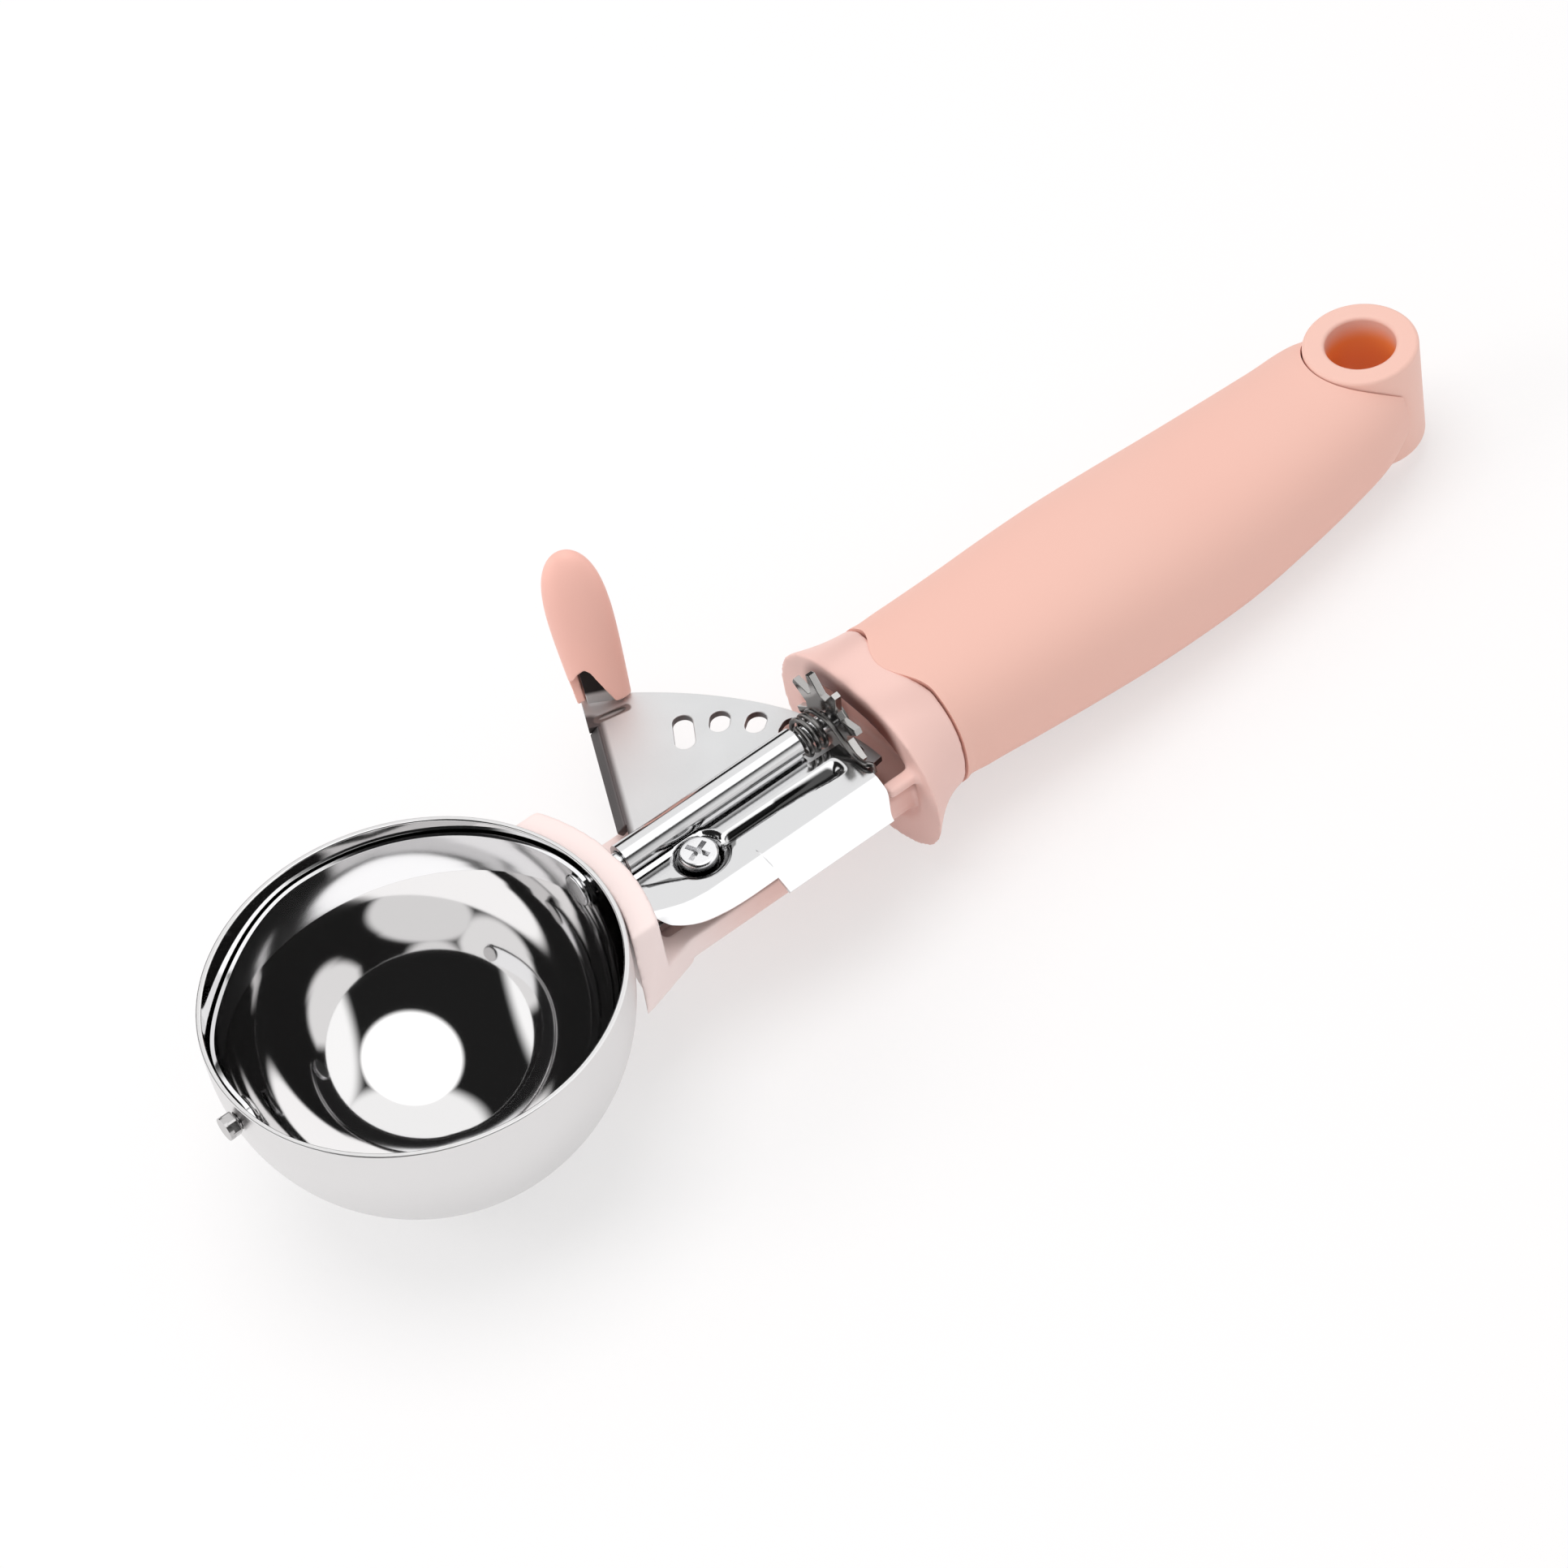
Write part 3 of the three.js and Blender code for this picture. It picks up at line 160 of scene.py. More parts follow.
FLOOR_WHITE = (0.93, 0.93, 0.935, 1)
FLOOR_SEEN = (0.44, 0.43, 0.43, 1)
FLOOR_GLOW = 0.55
FLOOR_SIDE = 6.0
FLOOR_MIDDLE = (0.08, 0, 0)
PURE_WHITE = (1, 1, 1, 1)
SKY_LEVEL = 0.68
SCREEN_SIDE = (-0.875, 0.485, 0)
SCREEN_EDGE = (0.66, 0.76)
SCREEN_LEVEL = 1.25
SPOT_WAY = (0.188, -0.246, 0.951)
SPOT_EDGE = (0.87, 0.90)
SPOT_LEVEL = 1.6
FAR_WAY = (0.56, 0.42, 0.714)
FAR_EDGE = (0.80, 0.87)
FAR_LEVEL = 1.15
DARK_LEVEL = 0.015
LAMP_AIM = Vector((0.07, 0, 0))
LAMPS = [
    ("lamp_overhead", (0.05, 0.10, 0.95), 0.7, 3.1),
    ("lamp_side", (-0.75, 0.35, 0.65), 0.5, 1.7),
]

sweep_material = bpy.data.materials.new("white_sweep")
sweep_material.use_nodes = True
tree = sweep_material.node_tree
tree.nodes.clear()
output = tree.nodes.new("ShaderNodeOutputMaterial")
start = Tone(tree, None)
seen, mirrored = ray_kinds(start)
matt = start.node("ShaderNodeBsdfDiffuse", inputs={"Color": FLOOR_WHITE})
shaded = start.node("ShaderNodeBsdfDiffuse", inputs={"Color": FLOOR_SEEN})
glow = start.node("ShaderNodeEmission", inputs={"Color": PURE_WHITE, "Strength": FLOOR_GLOW})
white = start.node("ShaderNodeAddShader", inputs={0: shaded, 1: glow})
mixed = start.node("ShaderNodeMixShader", inputs={0: seen + mirrored, 1: matt, 2: white})
mixed.into(output.inputs["Surface"])

bpy.ops.object.select_all(action="DESELECT")
bpy.ops.mesh.primitive_plane_add(size=FLOOR_SIDE, location=FLOOR_MIDDLE)
sweep = bpy.context.object
sweep.name = "floor"
sweep.data.materials.append(sweep_material)

sky = bpy.data.worlds.new("studio_sky")
sky.use_nodes = True
bpy.context.scene.world = sky
tree = sky.node_tree
start = Tone(tree, None)
seen, mirrored = ray_kinds(start)
gaze = start.node("ShaderNodeTexCoord", output="Generated")
sideways = start.sum_node("ABSOLUTE", gaze.dot(SCREEN_SIDE))
screens = sideways.between(*SCREEN_EDGE, DARK_LEVEL, SCREEN_LEVEL)
spot = gaze.dot(SPOT_WAY).between(*SPOT_EDGE, DARK_LEVEL, SPOT_LEVEL)
far_patch = gaze.dot(FAR_WAY).between(*FAR_EDGE, DARK_LEVEL, FAR_LEVEL)
mirror_level = highest(screens, spot, far_patch)
strength = SKY_LEVEL + seen * (1 - SKY_LEVEL) + mirrored * (mirror_level - SKY_LEVEL)
backdrop = tree.nodes["Background"].inputs
backdrop["Color"].default_value = PURE_WHITE
strength.into(backdrop["Strength"])

for name, place, size, power in LAMPS:
    lamp_data = bpy.data.lights.new(name, "AREA")
    lamp_data.shape = "DISK"
    lamp_data.size = size
    lamp_data.energy = power
    lamp = bpy.data.objects.new(name, lamp_data)
    lamp.location = place
    lamp.visible_glossy = False
    lamp.rotation_euler = (LAMP_AIM - Vector(place)).to_track_quat("-Z", "Y").to_euler()
    bpy.context.scene.collection.objects.link(lamp)


# Bowl
# Half a hollow ball pressed from stainless sheet, with a short straight rim. Outside it is satin
# from the polishing belt, inside it is buffed to a mirror; a pin and the shaft pass through it.
BOWL_RADIUS = 30.0
BOWL_WALL = 0.8
RIM_HEIGHT = 3.7
RIM_ROUNDING = 0.22
LEVEL_TOLERANCE = 1e-3
SHAFT_BORE = 1.8
PIN_BORE = 1.4
DRILL_OVERRUN = 2
FOOT_CUT = 0.15
SATIN_FROM = (29.55 * MM, 29.7 * MM)
SATIN_ROUGHNESS = (0.25, 0.12)
MIRROR_ROUGHNESS = (0.035, 0.02)
BOWL_STEEL = (0.75, 0.742, 0.742, 1)


def go_to(mode):
    bpy.ops.object.mode_set(mode=mode)


def clear_bench():
    """Leaves edit mode with nothing selected."""
    if bpy.context.mode != "OBJECT":
        go_to("OBJECT")
    bpy.ops.object.select_all(action="DESELECT")


def work_on(piece):
    clear_bench()
    piece.select_set(True)
    bpy.context.view_layer.objects.active = piece


def apply(piece, kind, **settings):
    """Adds one modifier and applies it."""
    work_on(piece)
    modifier = piece.modifiers.new(kind, kind)
    for name, value in settings.items():
        setattr(modifier, name, value)
    bpy.ops.object.modifier_apply(modifier=modifier.name)


def round_edges(piece, width, segments, angle=60):
    """Rounds the edges that are sharper than the angle."""
    limit = radians(angle)
    apply(piece, "BEVEL", width=width, segments=segments, limit_method="ANGLE", angle_limit=limit)


def cut(piece, tool, operation="DIFFERENCE"):
    """Cuts the tool from the piece, or joins it on, and takes the tool away."""
    apply(piece, "BOOLEAN", object=tool, operation=operation, solver="EXACT")
    bpy.data.objects.remove(tool)


def rod(axis, radius, low, high, place=(0, 0), sides=32):
    """A round bar along x or z from low to high, as stock or as a drill."""
    clear_bench()
    middle = (low + high) / 2
    if axis == "x":
        spot, turn = (middle, *place), (0, pi / 2, 0)
    else:
        spot, turn = (*place, middle), (0, 0, 0)
    bpy.ops.mesh.primitive_cylinder_add(
        vertices=sides, radius=radius, depth=high - low, location=spot, rotation=turn
    )
    bpy.ops.object.transform_apply(location=True, rotation=True, scale=True)
    return bpy.context.object


def block(size, placing):
    """A block of this size, put in place by the matrix."""
    clear_bench()
    bpy.ops.mesh.primitive_cube_add(size=1)
    made = bpy.context.object
    made.data.transform(Matrix.Diagonal((*size, 1)))
    made.data.transform(placing)
    return made


def open_mesh(piece):
    """Opens a piece for editing with all of it selected."""
    work_on(piece)
    go_to("EDIT")
    bpy.ops.mesh.select_all(action="SELECT")


def trim(piece, point, way, fill=False):
    """Cuts off what lies beyond a plane and leaves nothing selected."""
    open_mesh(piece)
    bpy.ops.mesh.bisect(plane_co=point, plane_no=way, clear_outer=True, use_fill=fill)
    bpy.ops.mesh.select_all(action="DESELECT")
    go_to("OBJECT")


def weld(piece, fill=False):
    """Closes seams and poles, and open ends where asked, with faces outwards."""
    open_mesh(piece)
    bpy.ops.mesh.remove_doubles(threshold=0.0005)
    if fill:
        bpy.ops.mesh.fill_holes(sides=0)
        bpy.ops.mesh.select_all(action="SELECT")
    bpy.ops.mesh.normals_make_consistent(inside=False)
    go_to("OBJECT")


def settle(piece, name, material, smooth_angle=35, flat_faces=True):
    """Smooths the finished piece, names it and takes its mesh from millimetres to the row frame."""
    work_on(piece)
    bpy.ops.object.shade_smooth_by_angle(angle=radians(smooth_angle))
    if flat_faces:
        apply(piece, "WEIGHTED_NORMAL", keep_sharp=True, weight=90)
    piece.name = name
    piece.data.materials.clear()
    piece.data.materials.append(material)
    piece.data.transform(into_row)
    piece.data.update()


def places(material):
    """The object coordinates of a finished piece, which are metres in the row frame."""
    return Tone(material.node_tree, None).node("ShaderNodeTexCoord", output="Object")


def new_finish(name, colour, metallic=0.0):
    """A material with its shader and its object coordinates."""
    material = bpy.data.materials.new(name)
    material.use_nodes = True
    shader = material.node_tree.nodes["Principled BSDF"]
    shader.inputs["Base Color"].default_value = colour
    shader.inputs["Metallic"].default_value = metallic
    return material, shader, places(material)


def speckle(where, scale, detail=3.0, stretch=None):
    """Noise from 0 to 1, drawn out along an axis where asked."""
    if stretch:
        where = where.node("ShaderNodeMapping", inputs={"Vector": where, "Scale": stretch})
    sockets = {"Vector": where, "Scale": scale, "Detail": detail}
    return where.node("ShaderNodeTexNoise", inputs=sockets)


def bump(shader, height, strength, distance):
    sockets = {"Height": height, "Strength": strength, "Distance": distance}
    height.node("ShaderNodeBump", inputs=sockets).into(shader.inputs["Normal"])


clear_bench()
bpy.ops.mesh.primitive_uv_sphere_add(segments=160, ring_count=96, radius=BOWL_RADIUS)
bowl = bpy.context.object
trim(bowl, (0, 0, 0), (0, 0, 1))
for edge in bowl.data.edges:
    edge.select = all(abs(bowl.data.vertices[i].co.z) < LEVEL_TOLERANCE for i in edge.vertices)
go_to("EDIT")
bpy.ops.mesh.extrude_region_move(TRANSFORM_OT_translate={"value": (0, 0, RIM_HEIGHT)})
weld(bowl)
apply(bowl, "SOLIDIFY", thickness=BOWL_WALL, offset=-1, use_even_offset=True)
round_edges(bowl, RIM_ROUNDING, 3)
cut(bowl, rod("x", SHAFT_BORE, BOWL_RADIUS - DRILL_OVERRUN, BOWL_RADIUS + DRILL_OVERRUN))
cut(bowl, rod("x", PIN_BORE, -BOWL_RADIUS - DRILL_OVERRUN, -BOWL_RADIUS + DRILL_OVERRUN))
down = Vector((sin(LEAN), 0, -cos(LEAN)))
rest_point = down * (BOWL_RADIUS - FOOT_CUT)
trim(bowl, rest_point, down, fill=True)

bowl_steel, shader, where = new_finish("bowl_steel", BOWL_STEEL, 1.0)
middle = into_row @ Vector((0, 0, 0))
offset = where.node("ShaderNodeVectorMath", {"operation": "SUBTRACT"}, {0: where, 1: middle})
radius = where.node("ShaderNodeVectorMath", {"operation": "LENGTH"}, {0: offset}, output="Value")
outside = radius.between(*SATIN_FROM)
belt = speckle(where, 900, 4, (1, 1, 9))
cloud = speckle(where, 60, 2)
satin = SATIN_ROUGHNESS[0] + belt * SATIN_ROUGHNESS[1]
mirror = MIRROR_ROUGHNESS[0] + cloud * MIRROR_ROUGHNESS[1]
roughness = outside * satin + (1 - outside) * mirror
roughness.into(shader.inputs["Roughness"])
bump(shader, belt * outside, strength=0.05, distance=0.00005)
settle(bowl, "bowl_shell", bowl_steel)
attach(bowl, "handle_and_bowl")
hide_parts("bowl")


# Scraper blade
# A thin spring-steel band bent to the bowl's inside, half a turn from the front pin to the shaft.
# It rests along the lever-side wall just under the rim; both ends are rounded lugs with a hole.
BLADE_RADIUS = 28.9
BLADE_SHEET = 0.6
BLADE_HALF_WIDTH = 3.8
BLADE_END_HALF_WIDTH = 2.7
BLADE_REST = radians(6)
BLADE_UPPER_CUT = 0.85
BLADE_SWELL_POWER = 0.7
BLADE_END_LEFT = 0.02
BLADE_SHAFT_BORE = 1.62
BLADE_PIN_BORE = 1.25
LUG_OVERRUN = 3
BRIGHT_STEEL = (0.82, 0.82, 0.83, 1)


def formed_sheet(columns, rows, shape):
    """A grid laid over a form: shape gives the point at (along, across), each from 0 to 1."""
    clear_bench()
    bpy.ops.mesh.primitive_grid_add(x_subdivisions=columns, y_subdivisions=rows, size=2)
    sheet = bpy.context.object
    for vertex in sheet.data.vertices:
        vertex.co = shape((vertex.co.x + 1) / 2, (vertex.co.y + 1) / 2)
    sheet.data.update()
    return sheet


def blade_point(along, across):
    overrun = BLADE_END_HALF_WIDTH / BLADE_RADIUS
    turn = -overrun + along * (pi + overrun * 2)
    swell = max(0.0, sin(turn)) ** BLADE_SWELL_POWER
    half = BLADE_END_HALF_WIDTH + (BLADE_HALF_WIDTH - BLADE_END_HALF_WIDTH) * swell
    past = max(-turn, turn - pi, 0) / overrun
    half *= sqrt(max(BLADE_END_LEFT, 1 - past ** 2))
    upper_cut = BLADE_UPPER_CUT * sin(2 * turn) ** 2 if 0 < turn < pi / 2 else 0.0
    lean = half / BLADE_RADIUS * ((2 - upper_cut) * across - 1)
    side = Vector((0, cos(BLADE_REST), -sin(BLADE_REST)))
    normal = Vector((0, sin(BLADE_REST), cos(BLADE_REST)))
    direction = Vector((-cos(turn), 0, 0)) + side * sin(turn)
    direction = direction * cos(lean) + normal * sin(lean)
    return direction * (BLADE_RADIUS - BLADE_SHEET / 2)


def part_axes(where, axes):
    """Millimetres along the scoop's own axes, whatever its lean in the row frame."""
    ways = [turn_only.col["xyz".index(axis)] for axis in axes]
    return [where.dot(way) * (1 / MM) - way.z * BOWL_CENTRE_HEIGHT for way in ways]


def stroke(x, y, start, end, half_width, full_share=0.6):
    """A soft-edged line in a plane from start to end: 1 on it, 0 away from it."""
    run = Vector(end) - Vector(start)
    way = run.normalized()
    across, down = x - start[0], y - start[1]
    along = across * way.x + down * way.y
    along = along.sum_node("MINIMUM", along.sum_node("MAXIMUM", along, 0.0), run.length)
    across, down = across - along * way.x, down - along * way.y
    away = along.sum_node("SQRT", across * across + down * down)
    return away.between(half_width * full_share, half_width, 1.0, 0.0)


def tinted(material, mark, colour):
    """Mixes a colour into the base colour where the mark is."""
    socket = material.node_tree.nodes["Principled BSDF"].inputs["Base Color"]
    plain = socket.default_value[:]
    if socket.links:
        plain = Tone(material.node_tree, socket.links[0].from_socket)
    mark.mix(plain, colour).into(socket)


def bright_finish(name, colour, roughness, stretch):
    """Bright rolled sheet: faint drawn lines in the gloss and a little cloudiness."""
    material, shader, where = new_finish(name, colour, 1.0)
    lines = speckle(where, 1400, 2, stretch)
    haze = speckle(where, 130, 2)
    gloss = roughness + lines * (roughness * 0.5) + haze * (roughness * 0.35)
    gloss.into(shader.inputs["Roughness"])
    bump(shader, lines, strength=0.03, distance=0.00003)
    return material


blade = formed_sheet(110, 10, blade_point)
weld(blade)
apply(blade, "SOLIDIFY", thickness=BLADE_SHEET, offset=0)
round_edges(blade, 0.12, 2)
inner, outer = BLADE_RADIUS - LUG_OVERRUN, BLADE_RADIUS + DRILL_OVERRUN
cut(blade, rod("x", BLADE_SHAFT_BORE, inner, outer))
cut(blade, rod("x", BLADE_PIN_BORE, -outer, -inner))
blade_steel = bright_finish("blade_steel", BRIGHT_STEEL, 0.07, (1, 6, 6))
settle(blade, "scraper_band", blade_steel)
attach(blade, "scraper")
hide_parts("scraper_blade")


# Front pin
# The blade's front pivot: a turned pin through the bowl wall with a hexagon head outside and a
# peened head inside, over the blade's lug.
PIN_RADIUS = 1.1
HEX_RADIUS = 1.9
HEX_LENGTH = 1.7
HEX_ROOT = -30.3
HEX_FACE_SHARE = 0.93
HEX_FACE_RISE = 0.25
JOIN_OVERLAP = 0.5
PEEN_RADIUS = 2.5
PEEN_DEPTH = 0.7
PEEN_INNER = -28.0
PEEN_ROUNDING = 0.42
PIN_STEEL = (0.50, 0.49, 0.49, 1)


def peened_head(start):
    """The hammered end of a pin along x, with its edges rounded off."""
    head = rod("x", PEEN_RADIUS, start, start + PEEN_DEPTH, sides=40)
    round_edges(head, PEEN_DEPTH * PEEN_ROUNDING, 4)
    return head


hex_end = HEX_ROOT - HEX_LENGTH
pin = rod("x", HEX_RADIUS, hex_end, HEX_ROOT, sides=6)
round_edges(pin, 0.28, 3, angle=40)
face_radius = HEX_RADIUS * HEX_FACE_SHARE
cut(pin, rod("x", face_radius, hex_end - HEX_FACE_RISE, hex_end + JOIN_OVERLAP), "UNION")
cut(pin, rod("x", PIN_RADIUS, HEX_ROOT - JOIN_OVERLAP, PEEN_INNER + JOIN_OVERLAP), "UNION")
cut(pin, peened_head(PEEN_INNER), "UNION")
pin_steel = bright_finish("pin_steel", PIN_STEEL, 0.13, (8, 1, 1))
settle(pin, "front_hexagon_pin", pin_steel)
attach(pin, "scraper")
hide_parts("front_pivot_pin")


# Scraper shaft
# A ground steel rod from the blade's rear lug, through bowl, collar and sleeve, to the star wheel.
# Its front end is peened over the blade, its tail has a small chamfer.
SHAFT_RADIUS = 1.5
SHAFT_HEAD = 27.3
SHAFT_START = 27.6
SHAFT_TAIL = 74.5

shaft = rod("x", SHAFT_RADIUS, SHAFT_START, SHAFT_TAIL, sides=48)
round_edges(shaft, 0.3, 2)
cut(shaft, peened_head(SHAFT_HEAD), "UNION")
shaft_steel = bright_finish("shaft_steel", BRIGHT_STEEL, 0.14, (1, 9, 9))
settle(shaft, "ground_shaft", shaft_steel)
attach(shaft, "scraper")
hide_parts("scraper_shaft")


# Star wheel
# Eight pointed teeth blanked from sheet, fixed on the shaft's tail. Two teeth always reach down
# into the lever's drive holes. Its edges are a little rounded by the blanking.
WHEEL_X = 72.4
WHEEL_SHEET = 1.2
WHEEL_TEETH = 8
WHEEL_BORE = 1.65
TOOTH_OUTLINE = [(4.7, -1.25), (7.8, -0.45), (7.8, 0.45), (4.7, 1.25)]
WHEEL_STEEL = (0.42, 0.41, 0.40, 1)


def meshed(curve):
    """Turns a bevelled curve into a closed mesh."""
    piece = bpy.data.objects.new(curve.name, curve)
    bpy.context.scene.collection.objects.link(piece)
    work_on(piece)
    bpy.ops.object.convert(target="MESH")
    piece = bpy.context.object
    weld(piece)
    return piece


def blanked(outlines, sheet, edge):
    """A flat blank round z = 0 from closed outlines: the first is its edge, the rest its holes."""
    clear_bench()
    curve = bpy.data.curves.new("blank", "CURVE")
    curve.dimensions = "2D"
    curve.fill_mode = "BOTH"
    curve.extrude = sheet / 2 - edge
    curve.bevel_depth = edge
    curve.bevel_resolution = 1
    curve.offset = -edge
    for outline in outlines:
        spline = curve.splines.new("POLY")
        spline.points.add(len(outline) - 1)
        for point, (x, y) in zip(spline.points, outline):
            point.co = (x, y, 0, 1)
        spline.use_cyclic_u = True
    return meshed(curve)


def circle_points(x, y, radius, sides, start=0.0, sweep=tau):
    angles = [start + sweep * i / sides for i in range(sides + (sweep < tau))]
    return [(x + radius * cos(angle), y + radius * sin(angle)) for angle in angles]


def facing_shaft(x):
    """Stands a flat blank up so that it faces along the shaft, at x."""
    return Matrix(((0, 0, 1, x), (1, 0, 0, 0), (0, 1, 0, 0), (0, 0, 0, 1)))


teeth = []
for tooth in range(WHEEL_TEETH):
    middle = -pi / 2 + (tooth + 0.5) * tau / WHEEL_TEETH
    for reach, half_width in TOOTH_OUTLINE:
        angle = middle + asin(half_width / reach)
        teeth.append((reach * cos(angle), reach * sin(angle)))
wheel = blanked([teeth, circle_points(0, 0, WHEEL_BORE, 32)], WHEEL_SHEET, 0.14)
wheel.data.transform(facing_shaft(WHEEL_X))
wheel_steel = bright_finish("wheel_steel", WHEEL_STEEL, 0.11, (1, 1, 7))
settle(wheel, "toothed_wheel", wheel_steel)
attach(wheel, "scraper")
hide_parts("star_wheel")


# Wheel clip
# An open ring of dark spring steel pressed into the shaft's groove behind the star wheel,
# with its mouth upwards.
CLIP_RADIUS = 3.1
CLIP_BORE = 1.8
CLIP_SHEET = 0.6
CLIP_X = 73.6
CLIP_MOUTH = radians(48)
SPRING_GREY = (0.20, 0.195, 0.19, 1)

ring = circle_points(0, 0, CLIP_RADIUS, 40, pi / 2 + CLIP_MOUTH / 2, tau - CLIP_MOUTH)
ring += circle_points(0, 0, CLIP_BORE, 40, pi / 2 - CLIP_MOUTH / 2, CLIP_MOUTH - tau)
clip = blanked([ring], CLIP_SHEET, 0.1)
clip.data.transform(facing_shaft(CLIP_X))
clip_steel = bright_finish("clip_steel", SPRING_GREY, 0.22, (1, 1, 5))
settle(clip, "open_clip", clip_steel)
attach(clip, "scraper")
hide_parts("wheel_clip")


# Return spring
# Music wire wound on the shaft between sleeve and star wheel. One end is hooked to the shaft, the
# other runs out over the deck and bends down behind its rear edge.
WIRE = 0.8
COIL_RADIUS = 2.7
COIL_START = 66.7
COIL_TURNS = 3
COIL_PITCH = 1.27
COIL_STEPS = 24
SHAFT_HOOK = 1.8
WIRE_CLEAR = 0.3
LEG_Y = -9.6
DECK_TOP = -1.5
DECK_REAR = 71.1

leg_x = COIL_START + COIL_TURNS * COIL_PITCH + WIRE / 2
leg_z = DECK_TOP + WIRE / 2 + WIRE_CLEAR
past_edge = DECK_REAR + WIRE / 2 + WIRE_CLEAR
hook_y = LEG_Y - WIRE
route = [(COIL_START, 0, SHAFT_HOOK)]
for step in range(COIL_TURNS * COIL_STEPS + 1):
    turn = step / COIL_STEPS * tau
    route.append((
        COIL_START + COIL_PITCH * step / COIL_STEPS,
        -sin(turn) * COIL_RADIUS,
        cos(turn) * COIL_RADIUS,
    ))
shoulder = -(COIL_RADIUS + WIRE * 2)
route += [
    (leg_x, shoulder * 0.6, COIL_RADIUS * 0.9),
    (leg_x, shoulder, (COIL_RADIUS + leg_z) / 2),
    (leg_x, LEG_Y / 2 + shoulder / 2, leg_z),
    (leg_x, LEG_Y, leg_z),
    (past_edge - 0.25, hook_y + 0.2, leg_z),
    (past_edge, hook_y, leg_z - WIRE * 0.5),
    (past_edge, hook_y, leg_z - WIRE * 2),
]
clear_bench()
wire_curve = bpy.data.curves.new("wire", "CURVE")
wire_curve.dimensions = "3D"
wire_curve.bevel_depth = WIRE / 2
wire_curve.bevel_resolution = 3
wire_curve.use_fill_caps = True
wire_curve.resolution_u = 4
spline = wire_curve.splines.new("NURBS")
spline.points.add(len(route) - 1)
for point, place in zip(spline.points, route):
    point.co = (*place, 1)
spline.order_u = 3
spline.use_endpoint_u = True
spring = meshed(wire_curve)
wire_steel = bright_finish("wire_steel", SPRING_GREY, 0.2, (6, 1, 1))
settle(spring, "wound_spring", wire_steel)
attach(spring, "handle_and_bowl")
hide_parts("return_spring")


# Stamped frame
# One piece of bright sheet: rolled into a sleeve round the shaft on one side, a flat deck with a
# shallow recess, a sunk screw seat and a gutter in the middle, and a creased, sloping flank on
# the other side.
FRAME_SHEET = 0.7
SLEEVE_MIDDLE = 2.06
SLEEVE_OPENING = radians(200)
SLEEVE_FRONT = 35.2
SLEEVE_REAR = 66.0
COLLAR_EDGE = 34.8
FLANK_Y = -17.3
FLANK_SLOPE = 0.645
CREASE = [(33.0, -9.2), (35.1, -10.3), (37.8, -11.4), (41.0, -11.9)]
CREASE_SOFTNESS = 0.7
FRONT_EDGE = [
    (32.0, -8.2), (33.2, -9.85), (35.1, -12.0), (37.8, -13.9),
    (41.1, -14.8), (45.0, -15.1), (50.7, -15.1),
]
FRONT_STRAIGHT_Y = -12.0
FLANK_REAR_BOTTOM = 69.3
REAR_SLANT_Y = 13.5
COIL_ROOM = 3.4
LEAD_LENGTH = 1.6
PIVOT = (44.3, -5.6)
RECESS_RADIUS = 4.4
RECESS_DEPTH = 0.45
RECESS_TONGUE = ((42.1, -8.9), (36.0, -5.1))
RECESS_SIDE_Y = -2.3
SEAT_RADII = (2.95, 4.2)
SEAT_DEPTH = 1.4
GUTTER_UPPER = -4.8
GUTTER_LOWER = [(48.0, -7.3), (56.0, -7.4), (61.5, -7.7), (66.0, -8.4)]
GUTTER_ENDS = (46.0, 49.5, 67.4, 69.2)
GUTTER_DEPTH = 0.9
PRESS_EDGE = 0.45
GUTTER_SHADE = [((50.0, -6.0), (58.3, -6.2), 0.95), ((58.3, -6.2), (66.8, -6.5), 1.25)]
RECESS_SHADE = [
    ((50.0, -6.0), (48.8, -7.4), 0.75), ((48.8, -7.4), (45.7, -9.3), 0.6),
    ((45.7, -9.3), (42.1, -8.8), 0.5), ((42.1, -8.8), (38.7, -6.3), 0.55),
    ((38.7, -6.3), (36.0, -5.2), 0.65),
]
RECESS_SHADE_SHARE = 0.8
SEAT_SHADE = (PIVOT, (PIVOT[0] - 0.3, PIVOT[1] - 0.3), 3.75)
FRAME_STEEL = (0.66, 0.66, 0.665, 1)
RECESS_PAINTED_SHADE = (0.10, 0.10, 0.10, 1)
GUTTER_PAINTED_SHADE = (0.05, 0.05, 0.05, 1)
SEAT_PAINTED_SHADOW = (0.02, 0.02, 0.02, 1)
NOTCH_X = FRONT_EDGE[-1][0]
NOTCH_SHARE = 0.445
FREE_Y = -7.6
SCREW_HOLE = 1.75


def step_up(value, low, high):
    share = min(1.0, max(0.0, (value - low) / (high - low)))
    return share * share * (3 - 2 * share)


def along_table(value, table):
    """A smooth reading between the rows of a table of pairs."""
    if value <= table[0][0]:
        return table[0][1]
    if value >= table[-1][0]:
        return table[-1][1]
    index = max(i for i, row in enumerate(table) if row[0] <= value)
    here, there = table[index], table[index + 1]
    before, after = table[max(0, index - 1)], table[min(len(table) - 1, index + 2)]
    span = there[0] - here[0]
    t = (value - here[0]) / span
    slope_here = (there[1] - before[1]) / (there[0] - before[0]) * span
    slope_there = (after[1] - here[1]) / (after[0] - here[0]) * span
    return (
        here[1] * (2 * t ** 3 - 3 * t ** 2 + 1) + slope_here * (t ** 3 - 2 * t ** 2 + t)
        + there[1] * (3 * t ** 2 - 2 * t ** 3) + slope_there * (t ** 3 - t ** 2)
    )


